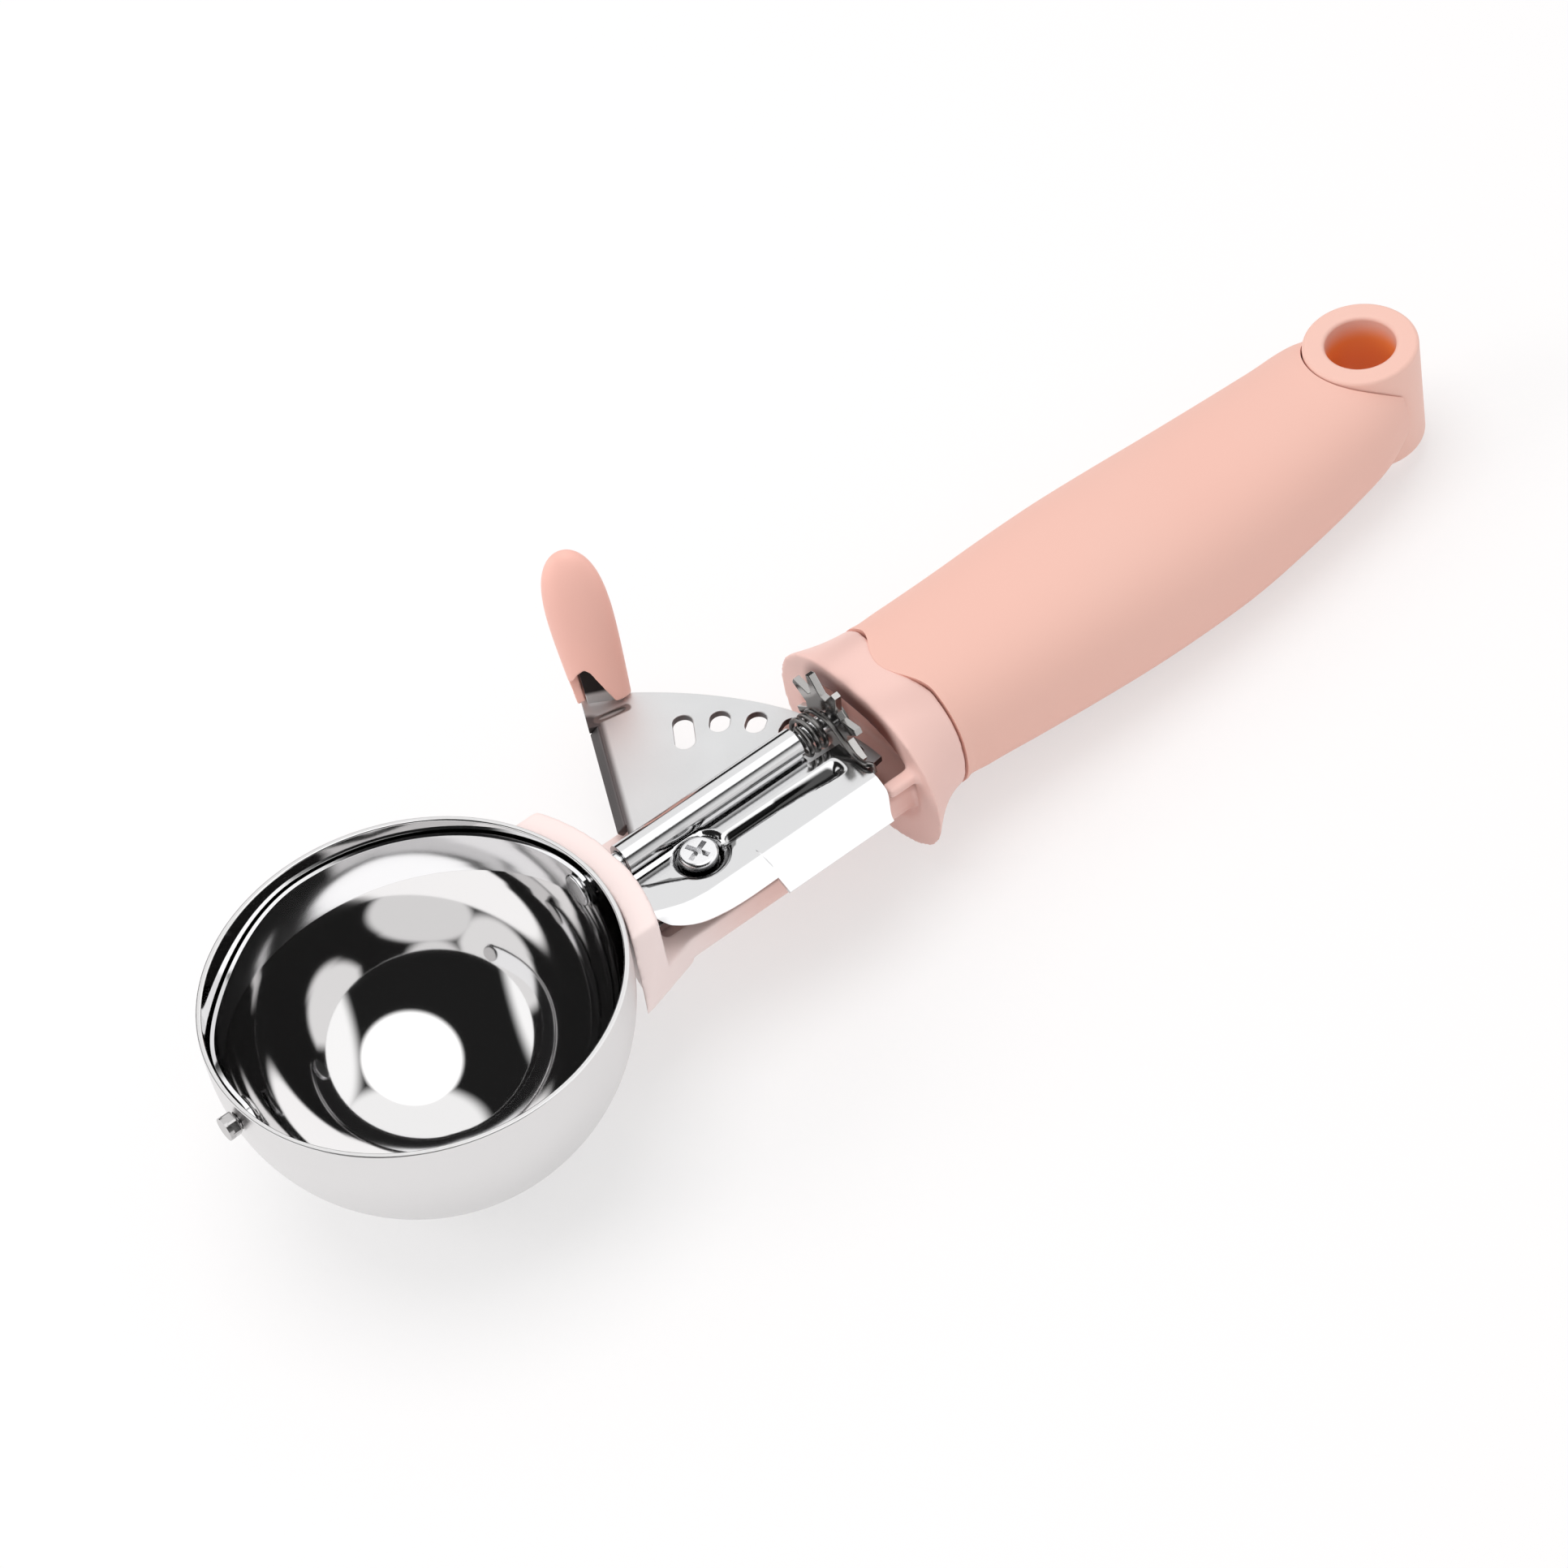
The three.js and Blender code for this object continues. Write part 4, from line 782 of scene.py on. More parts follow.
def pressed_depth(x, y):
    """How far the deck is pressed down at a place, by the recess, the screw seat or the gutter."""
    from_screw = dist((x, y), PIVOT)
    (x0, y0), (x1, y1) = RECESS_TONGUE
    beyond_line = ((x - x0) * (y1 - y0) - (y - y0) * (x1 - x0)) / dist(*RECESS_TONGUE)
    tongue = max(-beyond_line, x - x0)
    recess = max(min(from_screw - RECESS_RADIUS, tongue), y - RECESS_SIDE_Y)
    shallow = RECESS_DEPTH * (1 - step_up(recess, -PRESS_EDGE, PRESS_EDGE))
    beside_sleeve = 1 - step_up(y, RECESS_SIDE_Y - PRESS_EDGE, RECESS_SIDE_Y + PRESS_EDGE)
    seat = SEAT_DEPTH * (1 - step_up(from_screw, *SEAT_RADII)) * beside_sleeve
    lower = along_table(x, GUTTER_LOWER)
    off_centre = (y - (GUTTER_UPPER + lower) / 2) / ((GUTTER_UPPER - lower) / 2)
    ends = step_up(x, *GUTTER_ENDS[:2]) * (1 - step_up(x, *GUTTER_ENDS[2:]))
    gutter = GUTTER_DEPTH * max(0.0, 1 - off_centre ** 2) ** 2 * ends
    return (shallow ** 4 + seat ** 4 + gutter ** 4) ** 0.25


deck_middle = DECK_TOP - FRAME_SHEET / 2
roll_length = (SLEEVE_OPENING + pi / 2) * SLEEVE_MIDDLE
sheet_length = roll_length - FLANK_Y


def place_along(along, y, rear):
    """The distance down the sheet; the notch in the flank's edge is on one column of the grid."""
    front = sqrt(COLLAR_EDGE ** 2 - max(y, FRONT_STRAIGHT_Y) ** 2)
    if along < NOTCH_SHARE:
        return front + (NOTCH_X - front) * along / NOTCH_SHARE
    return NOTCH_X + (rear - NOTCH_X) * (along - NOTCH_SHARE) / (1 - NOTCH_SHARE)


def frame_point(along, across):
    travel = across * sheet_length
    front, rear = SLEEVE_FRONT, SLEEVE_REAR
    if travel < roll_length:
        angle = SLEEVE_OPENING - travel / SLEEVE_MIDDLE
        y, z = SLEEVE_MIDDLE * cos(angle), SLEEVE_MIDDLE * sin(angle)
        return Vector((front + (rear - front) * along, y, z))
    y = roll_length - travel
    if -y > COIL_ROOM:
        rear = DECK_REAR + (FLANK_REAR_BOTTOM - DECK_REAR) * step_up(-y, REAR_SLANT_Y, -FLANK_Y)
    if along < NOTCH_SHARE and y < FREE_Y:
        edge = along_table(place_along(along, max(y, FRONT_EDGE[1][1]), rear), FRONT_EDGE)
        y = FREE_Y + (y - FREE_Y) * (edge - FREE_Y) / (FLANK_Y - FREE_Y)
    x = place_along(along, y, rear)
    level = deck_middle - (SLEEVE_MIDDLE + deck_middle) * (1 - step_up(-y, 0, LEAD_LENGTH))
    over = along_table(x, CREASE) - y
    if over > CREASE_SOFTNESS:
        level -= FLANK_SLOPE * over
    elif over > -CREASE_SOFTNESS:
        level -= FLANK_SLOPE * (over + CREASE_SOFTNESS) ** 2 / (4 * CREASE_SOFTNESS)
    return Vector((x, y, level - pressed_depth(x, y)))


stamping = formed_sheet(190, 170, frame_point)
weld(stamping)
open_mesh(stamping)
bpy.ops.mesh.select_all(action="DESELECT")
go_to("OBJECT")
for face in stamping.data.polygons:
    face.select = dist(face.center[:2], PIVOT) < SCREW_HOLE
go_to("EDIT")
bpy.ops.mesh.delete(type="FACE")
go_to("OBJECT")
apply(
    stamping, "SOLIDIFY",
    thickness=FRAME_SHEET, offset=0, use_even_offset=True, thickness_clamp=0.0,
)
frame_steel = bright_finish("frame_steel", FRAME_STEEL, 0.085, (1, 7, 7))
x, y = part_axes(places(frame_steel), "xy")
# Painted shade and dark reflection: a dark line along the lower edge of the recess round the screw.
recess_shade_line = highest(*[stroke(x, y, *line) for line in RECESS_SHADE])
tinted(frame_steel, recess_shade_line * RECESS_SHADE_SHARE, RECESS_PAINTED_SHADE)
# Painted shade and dark reflection: a dark band along the gutter.
gutter_shade_line = highest(*[stroke(x, y, *line) for line in GUTTER_SHADE])
tinted(frame_steel, gutter_shade_line, GUTTER_PAINTED_SHADE)
# Painted shadow: a black ring round the screw head in its seat.
tinted(frame_steel, stroke(x, y, *SEAT_SHADE), SEAT_PAINTED_SHADOW)
settle(stamping, "stamped_frame", frame_steel, smooth_angle=40)
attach(stamping, "handle_and_bowl")
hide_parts("steel_frame")


# Lever plate
# A flat stamping that swings on the screw: a fan with six drive holes near its rim, a stiffening
# lip sloped down along its front edge, a pressed nick, and a tab bent up into the thumb pad.
LEVER_TOP = -6.05
LEVER_SHEET = 1.2
HUB_RADIUS = 5.6
BUSH_BORE = 2.9
ELBOW = (14.6, radians(108))
CORNER = (40.2, radians(79.1))
TAB_EDGE = (38.0, radians(69.2))
RIM_RADIUS = 31.8
RIM_STEPS = 56
RIM_SPREAD_POWER = 3
TAIL_ANGLE = radians(-0.5)
HOLE_CIRCLE = 29.033
HOLE_PITCH = radians(10.5)
HOLE_COUNT = 6
HOLE_HALF_WIDTH = 1.5
HOLE_HALF_LENGTH = 2.0
END_SLOT_INWARD = 2.6
LIP_WIDTH = 2.2
LIP_SLOPE = radians(45)
LIP_INSET = 1.5
LIP_CORNER_GAP = 6.0
TAB_SIZE = (5.0, 1.2, 11.0)
PAD_AXIS = Vector((0.135, 0.368, 0.92)).normalized()
NICK_FROM = Vector((51.4, 28.8))
NICK_TO = Vector((55.7, 27.8))
NICK_HALF_WIDTH = 0.6
NICK_DEPTH = 0.5
LEVER_STEEL = (0.80, 0.805, 0.81, 1)
TAB_SHADOW_HEIGHTS = (1.6, 2.4)
TAB_PAINTED_SHADOW = (0.05, 0.045, 0.045, 1)
LIP_SHADE_SHARE = 0.8
LIP_SHADE_WIDTH = 2.7
LIP_PAINTED_SHADE = (0.17, 0.15, 0.15, 1)
SHEARED_TOP = (0.2, 0.05)
SHEARED_BOTTOM = 0.1
SHEARED_PAINTED_SHADE = (0.13, 0.12, 0.12, 1)
NICK_SHADE_WIDTH = 0.9
NICK_PAINTED_SHADE = (0.30, 0.25, 0.24, 1)


def lever_point(reach, angle):
    return PIVOT[0] + reach * cos(angle), PIVOT[1] + reach * sin(angle)


elbow = Vector(lever_point(*ELBOW))
corner = Vector(lever_point(*CORNER))
tab_edge = Vector(lever_point(*TAB_EDGE))
front_edge = corner - elbow
front_line = front_edge.normalized()
inward = Vector((front_line.y, -front_line.x)) * LIP_INSET
lip_root = elbow + inward
lip_end = corner - front_line * LIP_CORNER_GAP
hub_start = ELBOW[1] + acos(HUB_RADIUS / ELBOW[0])
hub_end = TAIL_ANGLE - acos(HUB_RADIUS / RIM_RADIUS) + tau
plate_edge = [lip_root]
plate_edge += circle_points(*PIVOT, HUB_RADIUS, 40, hub_start, hub_end - hub_start)
for step in range(RIM_STEPS + 1):
    share = step / RIM_STEPS
    reach = RIM_RADIUS + (TAB_EDGE[0] - RIM_RADIUS) * share ** RIM_SPREAD_POWER
    plate_edge.append(lever_point(reach, TAIL_ANGLE + (TAB_EDGE[1] - TAIL_ANGLE) * share))
plate_edge += [corner, lip_end, lip_end + inward]
outlines = [plate_edge, circle_points(*PIVOT, BUSH_BORE, 40)]
mesh_angle = atan2(-PIVOT[1], WHEEL_X - PIVOT[0])
for hole in range(HOLE_COUNT):
    angle = mesh_angle + (hole - 0.5) * HOLE_PITCH
    straight = HOLE_HALF_LENGTH - HOLE_HALF_WIDTH
    longer = END_SLOT_INWARD if hole == HOLE_COUNT - 1 else 0
    far = lever_point(HOLE_CIRCLE + straight, angle)
    near = lever_point(HOLE_CIRCLE - straight - longer, angle)
    outlines.append(
        circle_points(*far, HOLE_HALF_WIDTH, 18, angle - pi / 2, pi)
        + circle_points(*near, HOLE_HALF_WIDTH, 18, angle + pi / 2, pi)
    )
lever = blanked(outlines, LEVER_SHEET, 0.16)
lever_middle = LEVER_TOP - LEVER_SHEET / 2
lever.data.transform(Matrix.Translation((0, 0, lever_middle)))

lip_length = front_edge.length - LIP_CORNER_GAP - LIP_WIDTH
lip_middle = (LIP_WIDTH + lip_length / 2, LIP_WIDTH / 2 - LEVER_SHEET / 2, 0)
lip = block((lip_length, LIP_WIDTH, LEVER_SHEET), Matrix.Translation(lip_middle))
lip.data.transform(
    Matrix.Translation((*lip_root, lever_middle))
    @ Matrix.Rotation(atan2(front_edge.y, front_edge.x), 4, "Z")
    @ Matrix.Rotation(-LIP_SLOPE, 4, "X")
)
round_edges(lip, 0.25, 3)
cut(lever, lip, "UNION")

wide = (tab_edge - corner).normalized().to_3d()
outward = PAD_AXIS.cross(wide).normalized()
wide = outward.cross(PAD_AXIS).normalized()
tab_foot = Vector((*(tab_edge + corner) / 2, lever_middle))
tab_frame = Matrix((wide, outward, PAD_AXIS)).transposed().to_4x4()
tab_frame.translation = tab_foot - outward * TAB_SIZE[1] / 2


def tab_block(clear):
    """The tab, or the room for it with some clearance at its sides and end."""
    length = TAB_SIZE[2] + clear
    size = (TAB_SIZE[0] + clear * 2, TAB_SIZE[1] + clear * 2, length)
    return block(size, tab_frame @ Matrix.Translation((0, 0, length / 2)))


tab = tab_block(0)
round_edges(tab, 0.15, 2)
cut(lever, tab, "UNION")

clear_bench()
bpy.ops.mesh.primitive_uv_sphere_add(segments=32, ring_count=16, radius=1)
nick = bpy.context.object
nick_line = NICK_TO - NICK_FROM
nick.data.transform(
    Matrix.Translation((*(NICK_TO + NICK_FROM) / 2, LEVER_TOP))
    @ Matrix.Rotation(atan2(nick_line.y, nick_line.x), 4, "Z")
    @ Matrix.Diagonal((nick_line.length / 2, NICK_HALF_WIDTH, NICK_DEPTH, 1))
)
cut(lever, nick)
lever_steel = bright_finish("lever_steel", LEVER_STEEL, 0.34, (6, 1, 6))
where = places(lever_steel)
# Painted shadow: the tab turns near black from just above the plate upwards, where it stands in the
# dark of the pad's arch.
tab_shadow_from, tab_shadow_to = ((into_row @ tab_frame @ Vector((0, 0, up_tab))).z for up_tab in TAB_SHADOW_HEIGHTS)
tinted(lever_steel, where.dot((0, 0, 1)).between(tab_shadow_from, tab_shadow_to), TAB_PAINTED_SHADOW)
x, y, z = part_axes(where, "xyz")
# Painted shade and dark reflection along the sloped lip of the front edge.
lip_shade_mark = stroke(x, y, elbow, elbow.lerp(corner, LIP_SHADE_SHARE), LIP_SHADE_WIDTH)
tinted(lever_steel, lip_shade_mark, LIP_PAINTED_SHADE)
# Painted shade: the walls of the plate's cut edges and holes are darkened between its top and
# bottom faces.
lever_bottom = LEVER_TOP - LEVER_SHEET
below_top = z.between(*(LEVER_TOP - depth for depth in SHEARED_TOP), 1.0, 0.0)
above_bottom = z.between(lever_bottom, lever_bottom + SHEARED_BOTTOM)
tinted(lever_steel, below_top * above_bottom, SHEARED_PAINTED_SHADE)
# Painted shade in the pressed nick.
tinted(lever_steel, stroke(x, y, NICK_FROM, NICK_TO, NICK_SHADE_WIDTH), NICK_PAINTED_SHADE)
settle(lever, "fan_lever", lever_steel)
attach(lever, "thumb_lever")
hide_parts("lever_plate")


# Thumb pad
# A moulded cap of deeper pink pushed over the lever's tab. It is a long oval, widest at the
# middle, with a slanted arch at its foot on the near side where the tab shows.
PAD_START = 0.4
PAD_END = 24.2
PAD_HALF_WIDTH = 4.8
PAD_FOOT_HALF_WIDTH = 4.0
PAD_HALF_SHEET = 2.6
PAD_ROW_POWER = 1.6
PAD_SWELL_TO = 0.45
PAD_TIP_FROM = 0.45
PAD_TIP_POWER = 3.4
PAD_ARCH = [
    (-6, -2), (2.2, -2), (1.8, 0.1), (-0.6, 5.2), (-1.4, 5.9), (-2.5, 5.3), (-3.6, 4.2), (-6, 3.4),
]
ARCH_DEPTH = 4.0
TAB_CLEAR = 0.3
PAD_PINK = (0.97, 0.55, 0.47, 1)
PAD_WARMER = (0.98, 0.54, 0.45, 1)


def pad_point(along, across):
    share = 1 - (1 - along) ** PAD_ROW_POWER
    length = PAD_START + (PAD_END - PAD_START) * share
    swell = sin(min(1, along / PAD_SWELL_TO) * pi / 2)
    half = PAD_FOOT_HALF_WIDTH + (PAD_HALF_WIDTH - PAD_FOOT_HALF_WIDTH) * swell
    to_tip = max(0, (share - PAD_TIP_FROM) / (1 - PAD_TIP_FROM))
    close = sqrt(max(0.0, 1 - to_tip ** PAD_TIP_POWER))
    turn = across * tau
    wide, thick = cos(turn) * half * close, sin(turn) * PAD_HALF_SHEET * close
    return tab_frame @ Vector((wide, thick, length))


pad = formed_sheet(60, 72, pad_point)
weld(pad, fill=True)
cut(pad, tab_block(TAB_CLEAR))
arch = blanked([PAD_ARCH], ARCH_DEPTH, 0.01)
stand_up = Matrix(((1, 0, 0, 0), (0, 0, -1, -ARCH_DEPTH / 2), (0, 1, 0, PAD_START), (0, 0, 0, 1)))
arch.data.transform(tab_frame @ stand_up)
cut(pad, arch)
apply(pad, "REMESH", mode="VOXEL", voxel_size=0.16)
apply(pad, "SMOOTH", factor=0.5, iterations=5)
pad_plastic, shader, where = new_finish("pad_plastic", PAD_PINK)
grain = speckle(where, 2600)
shade = speckle(where, 90, 2)
roughness = 0.36 + grain * 0.12
roughness.into(shader.inputs["Roughness"])
tinted(pad_plastic, shade, PAD_WARMER)
bump(shader, grain, strength=0.06, distance=0.00004)
settle(pad, "thumb_cap", pad_plastic, smooth_angle=60, flat_faces=False)
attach(pad, "thumb_lever")
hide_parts("thumb_pad")


# Pivot screw
# A pan-head screw with a cross recess, sunk in the frame's dish. It runs through the bush and the
# lever into a brass insert in the neck.
SCREW_BOTTOM = -2.4
SCREW_HEAD = 1.7
SCREW_HEAD_RADIUS = 2.9
SCREW_RADIUS = 1.5
SCREW_TIP = -12.2
CROSS_LENGTH = 3.8
CROSS_WIDTH = 0.8
CROSS_DEPTH = 1.0
CROSS_TURN = radians(22)

head_top = SCREW_BOTTOM + SCREW_HEAD
screw = rod("z", SCREW_HEAD_RADIUS, SCREW_BOTTOM, head_top, PIVOT, 64)
round_edges(screw, 0.6, 5)
cross_place = Matrix.Translation((*PIVOT, head_top)) @ Matrix.Rotation(CROSS_TURN, 4, "Z")
for length, width in ((CROSS_LENGTH, CROSS_WIDTH), (CROSS_WIDTH, CROSS_LENGTH)):
    cut(screw, block((length, width, CROSS_DEPTH * 2), cross_place))
cut(screw, rod("z", SCREW_RADIUS, SCREW_TIP, SCREW_BOTTOM + JOIN_OVERLAP, PIVOT, 40), "UNION")
screw_steel = bright_finish("screw_steel", BRIGHT_STEEL, 0.15, (1, 1, 1))
settle(screw, "cross_screw", screw_steel)
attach(screw, "handle_and_bowl")
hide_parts("pivot_screw")


# Handle core
# One moulding in pale pink plastic: the collar that hugs the bowl, the open neck with its screw
# boss, and the flared ferrule the grip butts against. The lug at its mouth keeps the frame's
# flank in place.
GAP = 0.3
COLLAR_INNER = 30.3
COLLAR_OUTER = 34.5
COLLAR_BACK = 12
COLLAR_TOP = 2.2
COLLAR_TOP_HALF_WIDTH = 14.3
COLLAR_TIP = (17.2, -10.5)
GUSSET_START = 10
GUSSET_END = 36.4
GUSSET_SPREAD = 0.4255
GUSSET_INNER = 10.8
NECK_START = 20
NECK_HALF_WIDTH = 12.3
NECK_WALL = 2.9
NECK_TOP = -7.85
NECK_LEVER_TOP = -9.4
NECK_FLOOR = -12.2
NECK_BOTTOM = -14.6
NECK_BEND = 4.6
NECK_OPEN_TOP = 5
CORNER_STEPS = 12
BOSS_RADIUS = 4.3
BOSS_TOP = -8.35
WASHER_ROOM = 4.9
INSERT_BORE = 2.4
LUG = ((71.4, -14.4, -5.2), (78.9, -12.0, -3.5))
TANG_SLOT = ((29, -5.3, NECK_FLOOR), (39.5, 5.3, -10.4))
FERRULE_FRONT = 76.3
FERRULE_HALF_WIDTH = 18.2
FERRULE_HALF_HEIGHT = 13.5
FERRULE_DROP = 9.6
FERRULE_WALL = 4.8
FERRULE_FLARE = 9.0
MOUTH_END = 80.8
SEAM_X = 81.7
SEAM_WAVE = 3.2
SEAM_HALF_SPAN = 9.0
SECTION_POWER = 2.3
SECTION_RATIO = 0.8
WAIST_HALF_WIDTH = 14.05
WAIST_DROP = 7.1
FINE_EDGE = 0.005
BEYOND = 40
CORE_PINK = (0.90, 0.61, 0.55, 1)
CORE_WARMER = (0.91, 0.59, 0.53, 1)
COLLAR_PAINTED_LIGHT = (0.98, 0.82, 0.79, 1)
COLLAR_LIGHT_FADE = (34 * MM, 52 * MM)
POCKET_SHADE = ((-5.0, -3.2), (5.0, -3.2), 7.2)
POCKET_SHADE_FROM = (70.5, 72.5)
POCKET_PAINTED_SHADE = (0.20, 0.06, 0.045, 1)


def section_point(x, half_width, half_height, drop, turn):
    """A point on the handle's rounded section at x."""
    reaches = (cos(turn), sin(turn))
    y, z = (copysign(abs(reach) ** (2 / SECTION_POWER), reach) for reach in reaches)
    return Vector((x, half_width * y, half_height * z - drop))


def flare_section(x):
    """Half width, half height and drop of the ferrule at x."""
    wide_open = max(0.0, 1 - (x - FERRULE_FRONT) / FERRULE_FLARE) ** 2
    waist_height = WAIST_HALF_WIDTH * SECTION_RATIO
    return (
        WAIST_HALF_WIDTH + (FERRULE_HALF_WIDTH - WAIST_HALF_WIDTH) * wide_open,
        waist_height + (FERRULE_HALF_HEIGHT - waist_height) * wide_open,
        WAIST_DROP + (FERRULE_DROP - WAIST_DROP) * wide_open,
    )


def seam_at(turn):
    """How far the seam wanders back at this place round the handle."""
    wide, high, drop = flare_section(SEAM_X)
    y = section_point(SEAM_X, wide, high, drop, turn).y
    return SEAM_WAVE * (1 - cos(pi * min(1, abs(y) / SEAM_HALF_SPAN))) / 2


def ferrule_form(start, end, inset, wavy):
    """The flared form from start to end, drawn in by inset; a wavy one ends along the seam."""

    def point(along, across):
        turn = across * tau
        x = start + (end - start) * along + (seam_at(turn) * along if wavy else 0)
        wide, high, drop = flare_section(max(x, FERRULE_FRONT))
        return section_point(x, wide - inset, high - inset, drop, turn)

    form = formed_sheet(24, 128, point)
    weld(form, fill=True)
    return form


def drawn_along_x(section, start, end):
    """A profile in (y, z) drawn out along x."""
    form = blanked([section], end - start, FINE_EDGE)
    form.data.transform(facing_shaft((start + end) / 2))
    return form


def neck_form(half_width, top, lever_top, bottom, bend, start, end):
    """A trough section drawn along x: round at the bottom, lower on the lever side."""
    section = [(-half_width, top)]
    for y, start_angle in ((bend - half_width, pi), (half_width - bend, pi * 1.5)):
        section += circle_points(y, bottom + bend, bend, CORNER_STEPS, start_angle, pi / 2)
    section += [(half_width, lever_top), (0, lever_top), (0, top)]
    return drawn_along_x(section, start, end)


def collar_bar(end):
    """The collar's outline along x: its ends slant out to low tips and run in under the neck."""
    foot, top = (NECK_HALF_WIDTH - NECK_BEND, NECK_BOTTOM), (COLLAR_TOP_HALF_WIDTH, COLLAR_TOP)
    right = [foot, COLLAR_TIP, top]
    left = [(-y, z) for y, z in reversed(right)]
    return drawn_along_x(left + right, COLLAR_BACK, end)


def gusset_wedge(bottom, top):
    """Seen from above, the straight tapering sides that run from the collar's tips to the neck."""
    wide = NECK_HALF_WIDTH + GUSSET_SPREAD * (GUSSET_END - GUSSET_START)
    right = [(GUSSET_START, -wide), (GUSSET_END, -NECK_HALF_WIDTH)]
    left = [(x, -y) for x, y in reversed(right)]
    form = blanked([right + left], top - bottom, FINE_EDGE)
    form.data.transform(Matrix.Translation((0, 0, (top + bottom) / 2)))
    return form


def block_between(low, high):
    """A block from its lowest corner to its highest."""
    low, high = Vector(low), Vector(high)
    return block(high - low, Matrix.Translation((low + high) / 2))


core = neck_form(
    NECK_HALF_WIDTH, NECK_TOP, NECK_LEVER_TOP, NECK_BOTTOM, NECK_BEND, NECK_START, SEAM_X - GAP
)
cut(core, neck_form(
    NECK_HALF_WIDTH - NECK_WALL, NECK_OPEN_TOP, NECK_OPEN_TOP, NECK_FLOOR, NECK_BEND - NECK_WALL,
    COLLAR_OUTER, MOUTH_END,
))
ferrule = ferrule_form(FERRULE_FRONT, SEAM_X, 0, True)
cut(ferrule, ferrule_form(FERRULE_FRONT - 1, MOUTH_END, FERRULE_WALL, False))
collar = collar_bar(COLLAR_OUTER + 1)
cut(collar, rod("z", COLLAR_OUTER, -BEYOND, BEYOND, sides=160), "INTERSECT")
cut(collar, gusset_wedge(-BEYOND, BEYOND), "INTERSECT")
cut(core, ferrule, "UNION")
cut(core, collar, "UNION")
for side, top in ((-1, NECK_TOP), (1, NECK_LEVER_TOP)):
    gusset = gusset_wedge(NECK_BOTTOM, top)
    cut(gusset, collar_bar(GUSSET_END), "INTERSECT")
    near, far = sorted((GUSSET_INNER * side, BEYOND * side))
    cut(gusset, block_between((0, near, -BEYOND), (2 * BEYOND, far, BEYOND)), "INTERSECT")
    cut(core, gusset, "UNION")
cut(core, rod("z", BOSS_RADIUS, NECK_FLOOR - 1, BOSS_TOP, PIVOT, 48), "UNION")
cut(core, block_between(*LUG), "UNION")
cut(core, rod("z", COLLAR_INNER, -BEYOND, BEYOND, sides=160))
cut(core, rod("x", SHAFT_BORE, COLLAR_INNER - DRILL_OVERRUN, COLLAR_OUTER + DRILL_OVERRUN))
cut(core, rod("z", WASHER_ROOM, BOSS_TOP, 0, PIVOT, 48))
cut(core, rod("z", INSERT_BORE, NECK_FLOOR - GAP, BOSS_TOP + GAP, PIVOT, 40))
cut(core, block_between(*TANG_SLOT))
apply(core, "REMESH", mode="VOXEL", voxel_size=0.36)
apply(core, "SMOOTH", factor=0.5, iterations=14)


def moulded_finish(name, colour, warmer, roughness, grain_scale, grain_depth):
    """Moulded plastic or rubber: a fine pitted grain and a faint drift of colour."""
    material, shader, where = new_finish(name, colour)
    grain = speckle(where, grain_scale)
    drift = speckle(where, 45, 2)
    gloss = roughness + grain * 0.14
    gloss.into(shader.inputs["Roughness"])
    tinted(material, drift, warmer)
    bump(shader, grain, strength=0.08, distance=grain_depth)
    return material


core_plastic = moulded_finish("core_plastic", CORE_PINK, CORE_WARMER, 0.34, 2200, 0.00004)
where = places(core_plastic)
# Painted light: the collar and the front of the neck are painted paler near the bowl, fading out
# along x.
tinted(core_plastic, where.dot((1, 0, 0)).between(*COLLAR_LIGHT_FADE, 1.0, 0.0), COLLAR_PAINTED_LIGHT)
x, y, z = part_axes(where, "xyz")
# Painted shade: the inside of the ferrule's mouth round the shaft is painted dark brown.
tinted(core_plastic, stroke(y, z, *POCKET_SHADE) * x.between(*POCKET_SHADE_FROM), POCKET_PAINTED_SHADE)
settle(core, "moulded_neck", core_plastic, smooth_angle=60, flat_faces=False)
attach(core, "handle_and_bowl")
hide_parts("handle_core")


# Hanging eye
# The tail of the same moulding: a round boss standing through the grip, with a hole to hang it
# by. The warm orange of light coming through the plastic is painted into the bore.
EYE_X = 172.9
EYE_RADIUS = 8.6
EYE_HOLE = 5.25
EYE_TOP = 3.2
EYE_BOTTOM = -14.8
EYE_ROUNDING = 1.6
EYE_PINK = (0.91, 0.575, 0.49, 1)
EYE_WARMER = (0.92, 0.56, 0.47, 1)
BORE_GLOW_RING = ((EYE_X - 0.01, 0), (EYE_X + 0.01, 0), EYE_HOLE + 0.6, 0.93)
BORE_GLOW_HEIGHTS = (EYE_TOP - 4.5, EYE_TOP - 0.6)
BORE_PAINTED_GLOW = (0.98, 0.34, 0.10, 1)

hanger = rod("z", EYE_RADIUS, EYE_BOTTOM, EYE_TOP, (EYE_X, 0), 128)
cut(hanger, rod("z", EYE_HOLE, EYE_BOTTOM - 1, EYE_TOP + 1, (EYE_X, 0), 96))
round_edges(hanger, EYE_ROUNDING, 6)
eye_plastic = moulded_finish("eye_plastic", EYE_PINK, EYE_WARMER, 0.38, 2200, 0.00004)
x, y, z = part_axes(places(eye_plastic), "xyz")
# Painted light: the bore wall below its top edge is painted a glowing orange.
depth = z.between(*BORE_GLOW_HEIGHTS, 1.0, 0.0)
tinted(eye_plastic, stroke(x, y, *BORE_GLOW_RING) * depth, BORE_PAINTED_GLOW)
settle(hanger, "hanging_loop", eye_plastic, smooth_angle=60)
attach(hanger, "handle_and_bowl")
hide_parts("handle_core")


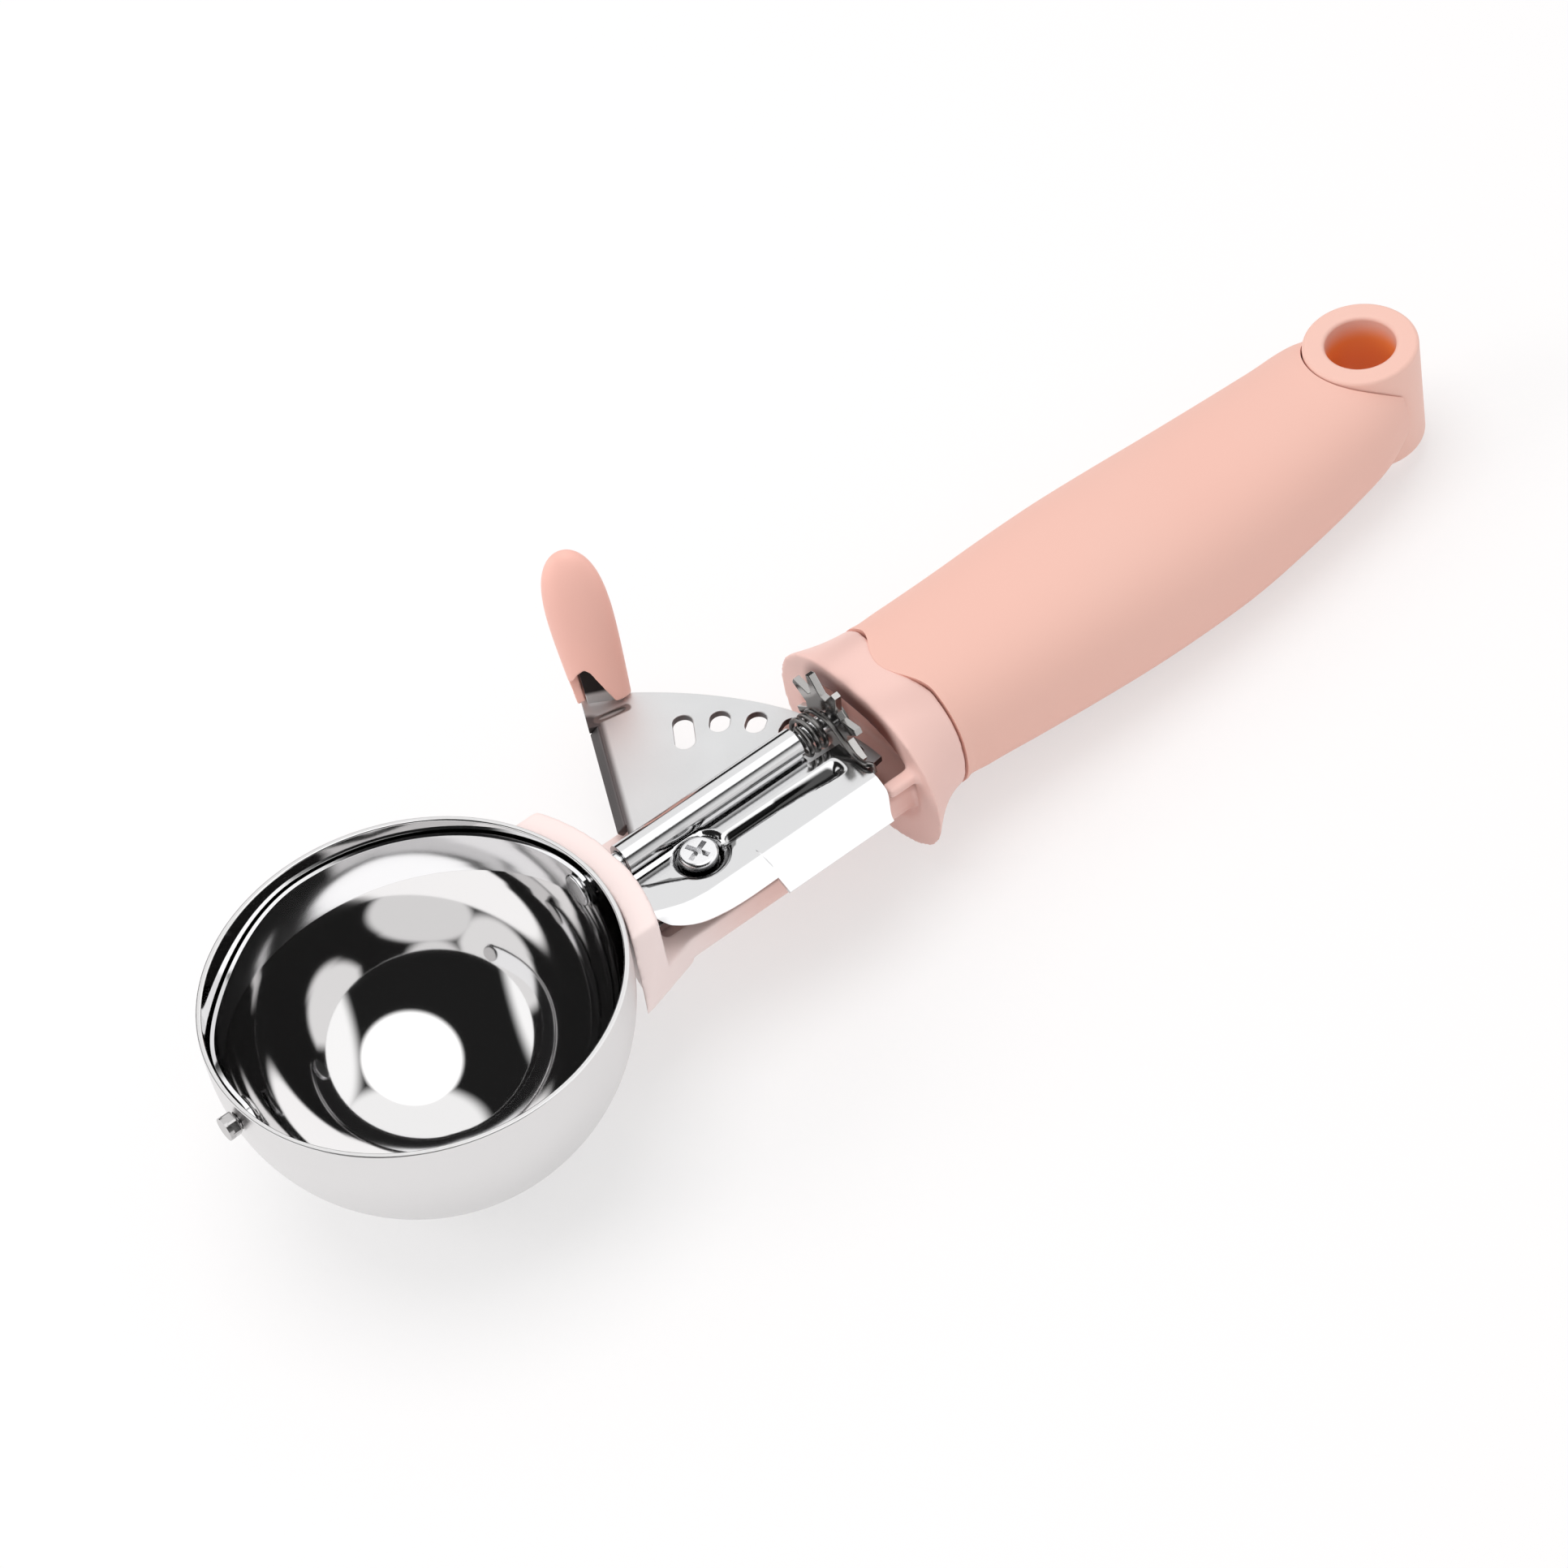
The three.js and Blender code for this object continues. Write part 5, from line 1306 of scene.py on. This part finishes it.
# Grip sleeve
# A soft-touch sleeve moulded over the core's bar: waisted behind the ferrule, full in the palm, and
# tapering to the eye. Its front edge is a wave that meets the ferrule with a fine line.
GRIP_WIDTHS = [
    (76.3, 18.2), (85.0, 14.1), (90.0, 14.05), (100.0, 14.5), (110.0, 15.0), (120.0, 15.3),
    (130.0, 15.2), (140.0, 14.8), (150.0, 14.0), (160.0, 13.0), (168.0, 11.9), (175.0, 8.9),
]
GRIP_DROPS = [
    (76.3, 9.6), (85.0, 7.1), (90.0, 7.2), (100.0, 7.8), (110.0, 8.2), (120.0, 8.6),
    (130.0, 9.0), (140.0, 9.2), (150.0, 8.7), (160.0, 7.8), (168.0, 6.6), (175.0, 5.9),
]
FLARE_END = 86
GRIP_WALL = 2.3
SEAM_GAP = 0.15
SEAM_FADE = 16
GRIP_END = 172.9
EYE_CLEAR = 0.25
GRIP_PINK = (0.89, 0.545, 0.46, 1)
GRIP_WARMER = (0.90, 0.525, 0.44, 1)


def grip_point(along, across):
    turn = across * tau
    x = SEAM_X + SEAM_GAP + (GRIP_END - SEAM_X - SEAM_GAP) * along
    x += seam_at(turn) * (1 - step_up(x, SEAM_X, SEAM_X + SEAM_FADE))
    if x < FLARE_END:
        wide, high, drop = flare_section(x)
    else:
        wide, drop = along_table(x, GRIP_WIDTHS), along_table(x, GRIP_DROPS)
        high = wide * SECTION_RATIO
    return section_point(x, wide, high, drop, turn)


grip = formed_sheet(150, 144, grip_point)
weld(grip)
apply(grip, "SOLIDIFY", thickness=GRIP_WALL, offset=-1, use_even_offset=True)
cut(grip, rod("z", EYE_RADIUS + EYE_CLEAR, -BEYOND, BEYOND, (EYE_X, 0), 128))
round_edges(grip, 0.3, 2, angle=50)
trim(grip, rest_point, down, fill=True)
grip_rubber = moulded_finish("grip_rubber", GRIP_PINK, GRIP_WARMER, 0.5, 3200, 0.00005)
settle(grip, "soft_grip", grip_rubber, smooth_angle=45)
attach(grip, "handle_and_bowl")
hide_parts("grip_sleeve")


# Hidden fittings
# Tang and rivets that hold the bowl, and the bush, washer and insert round the screw. Their solids
# are right as they are, so they only get their finishes.
BRASS = (0.60, 0.38, 0.12, 1)
NYLON = (0.80, 0.78, 0.73, 1)
NYLON_PALER = (0.82, 0.80, 0.76, 1)

tang_steel = bright_finish("tang_steel", BOWL_STEEL, 0.24, (1, 8, 1))
turned_brass = bright_finish("turned_brass", BRASS, 0.22, (1, 1, 9))
nylon = moulded_finish("nylon", NYLON, NYLON_PALER, 0.45, 1800, 0.00003)
for node, finish in (
    ("bowl_tang", tang_steel),
    ("tang_rivet_lever_side", tang_steel),
    ("tang_rivet_flank_side", tang_steel),
    ("pivot_bush", turned_brass),
    ("threaded_insert", turned_brass),
    ("pivot_washer", nylon),
):
    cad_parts[node].data.materials.clear()
    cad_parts[node].data.materials.append(finish)
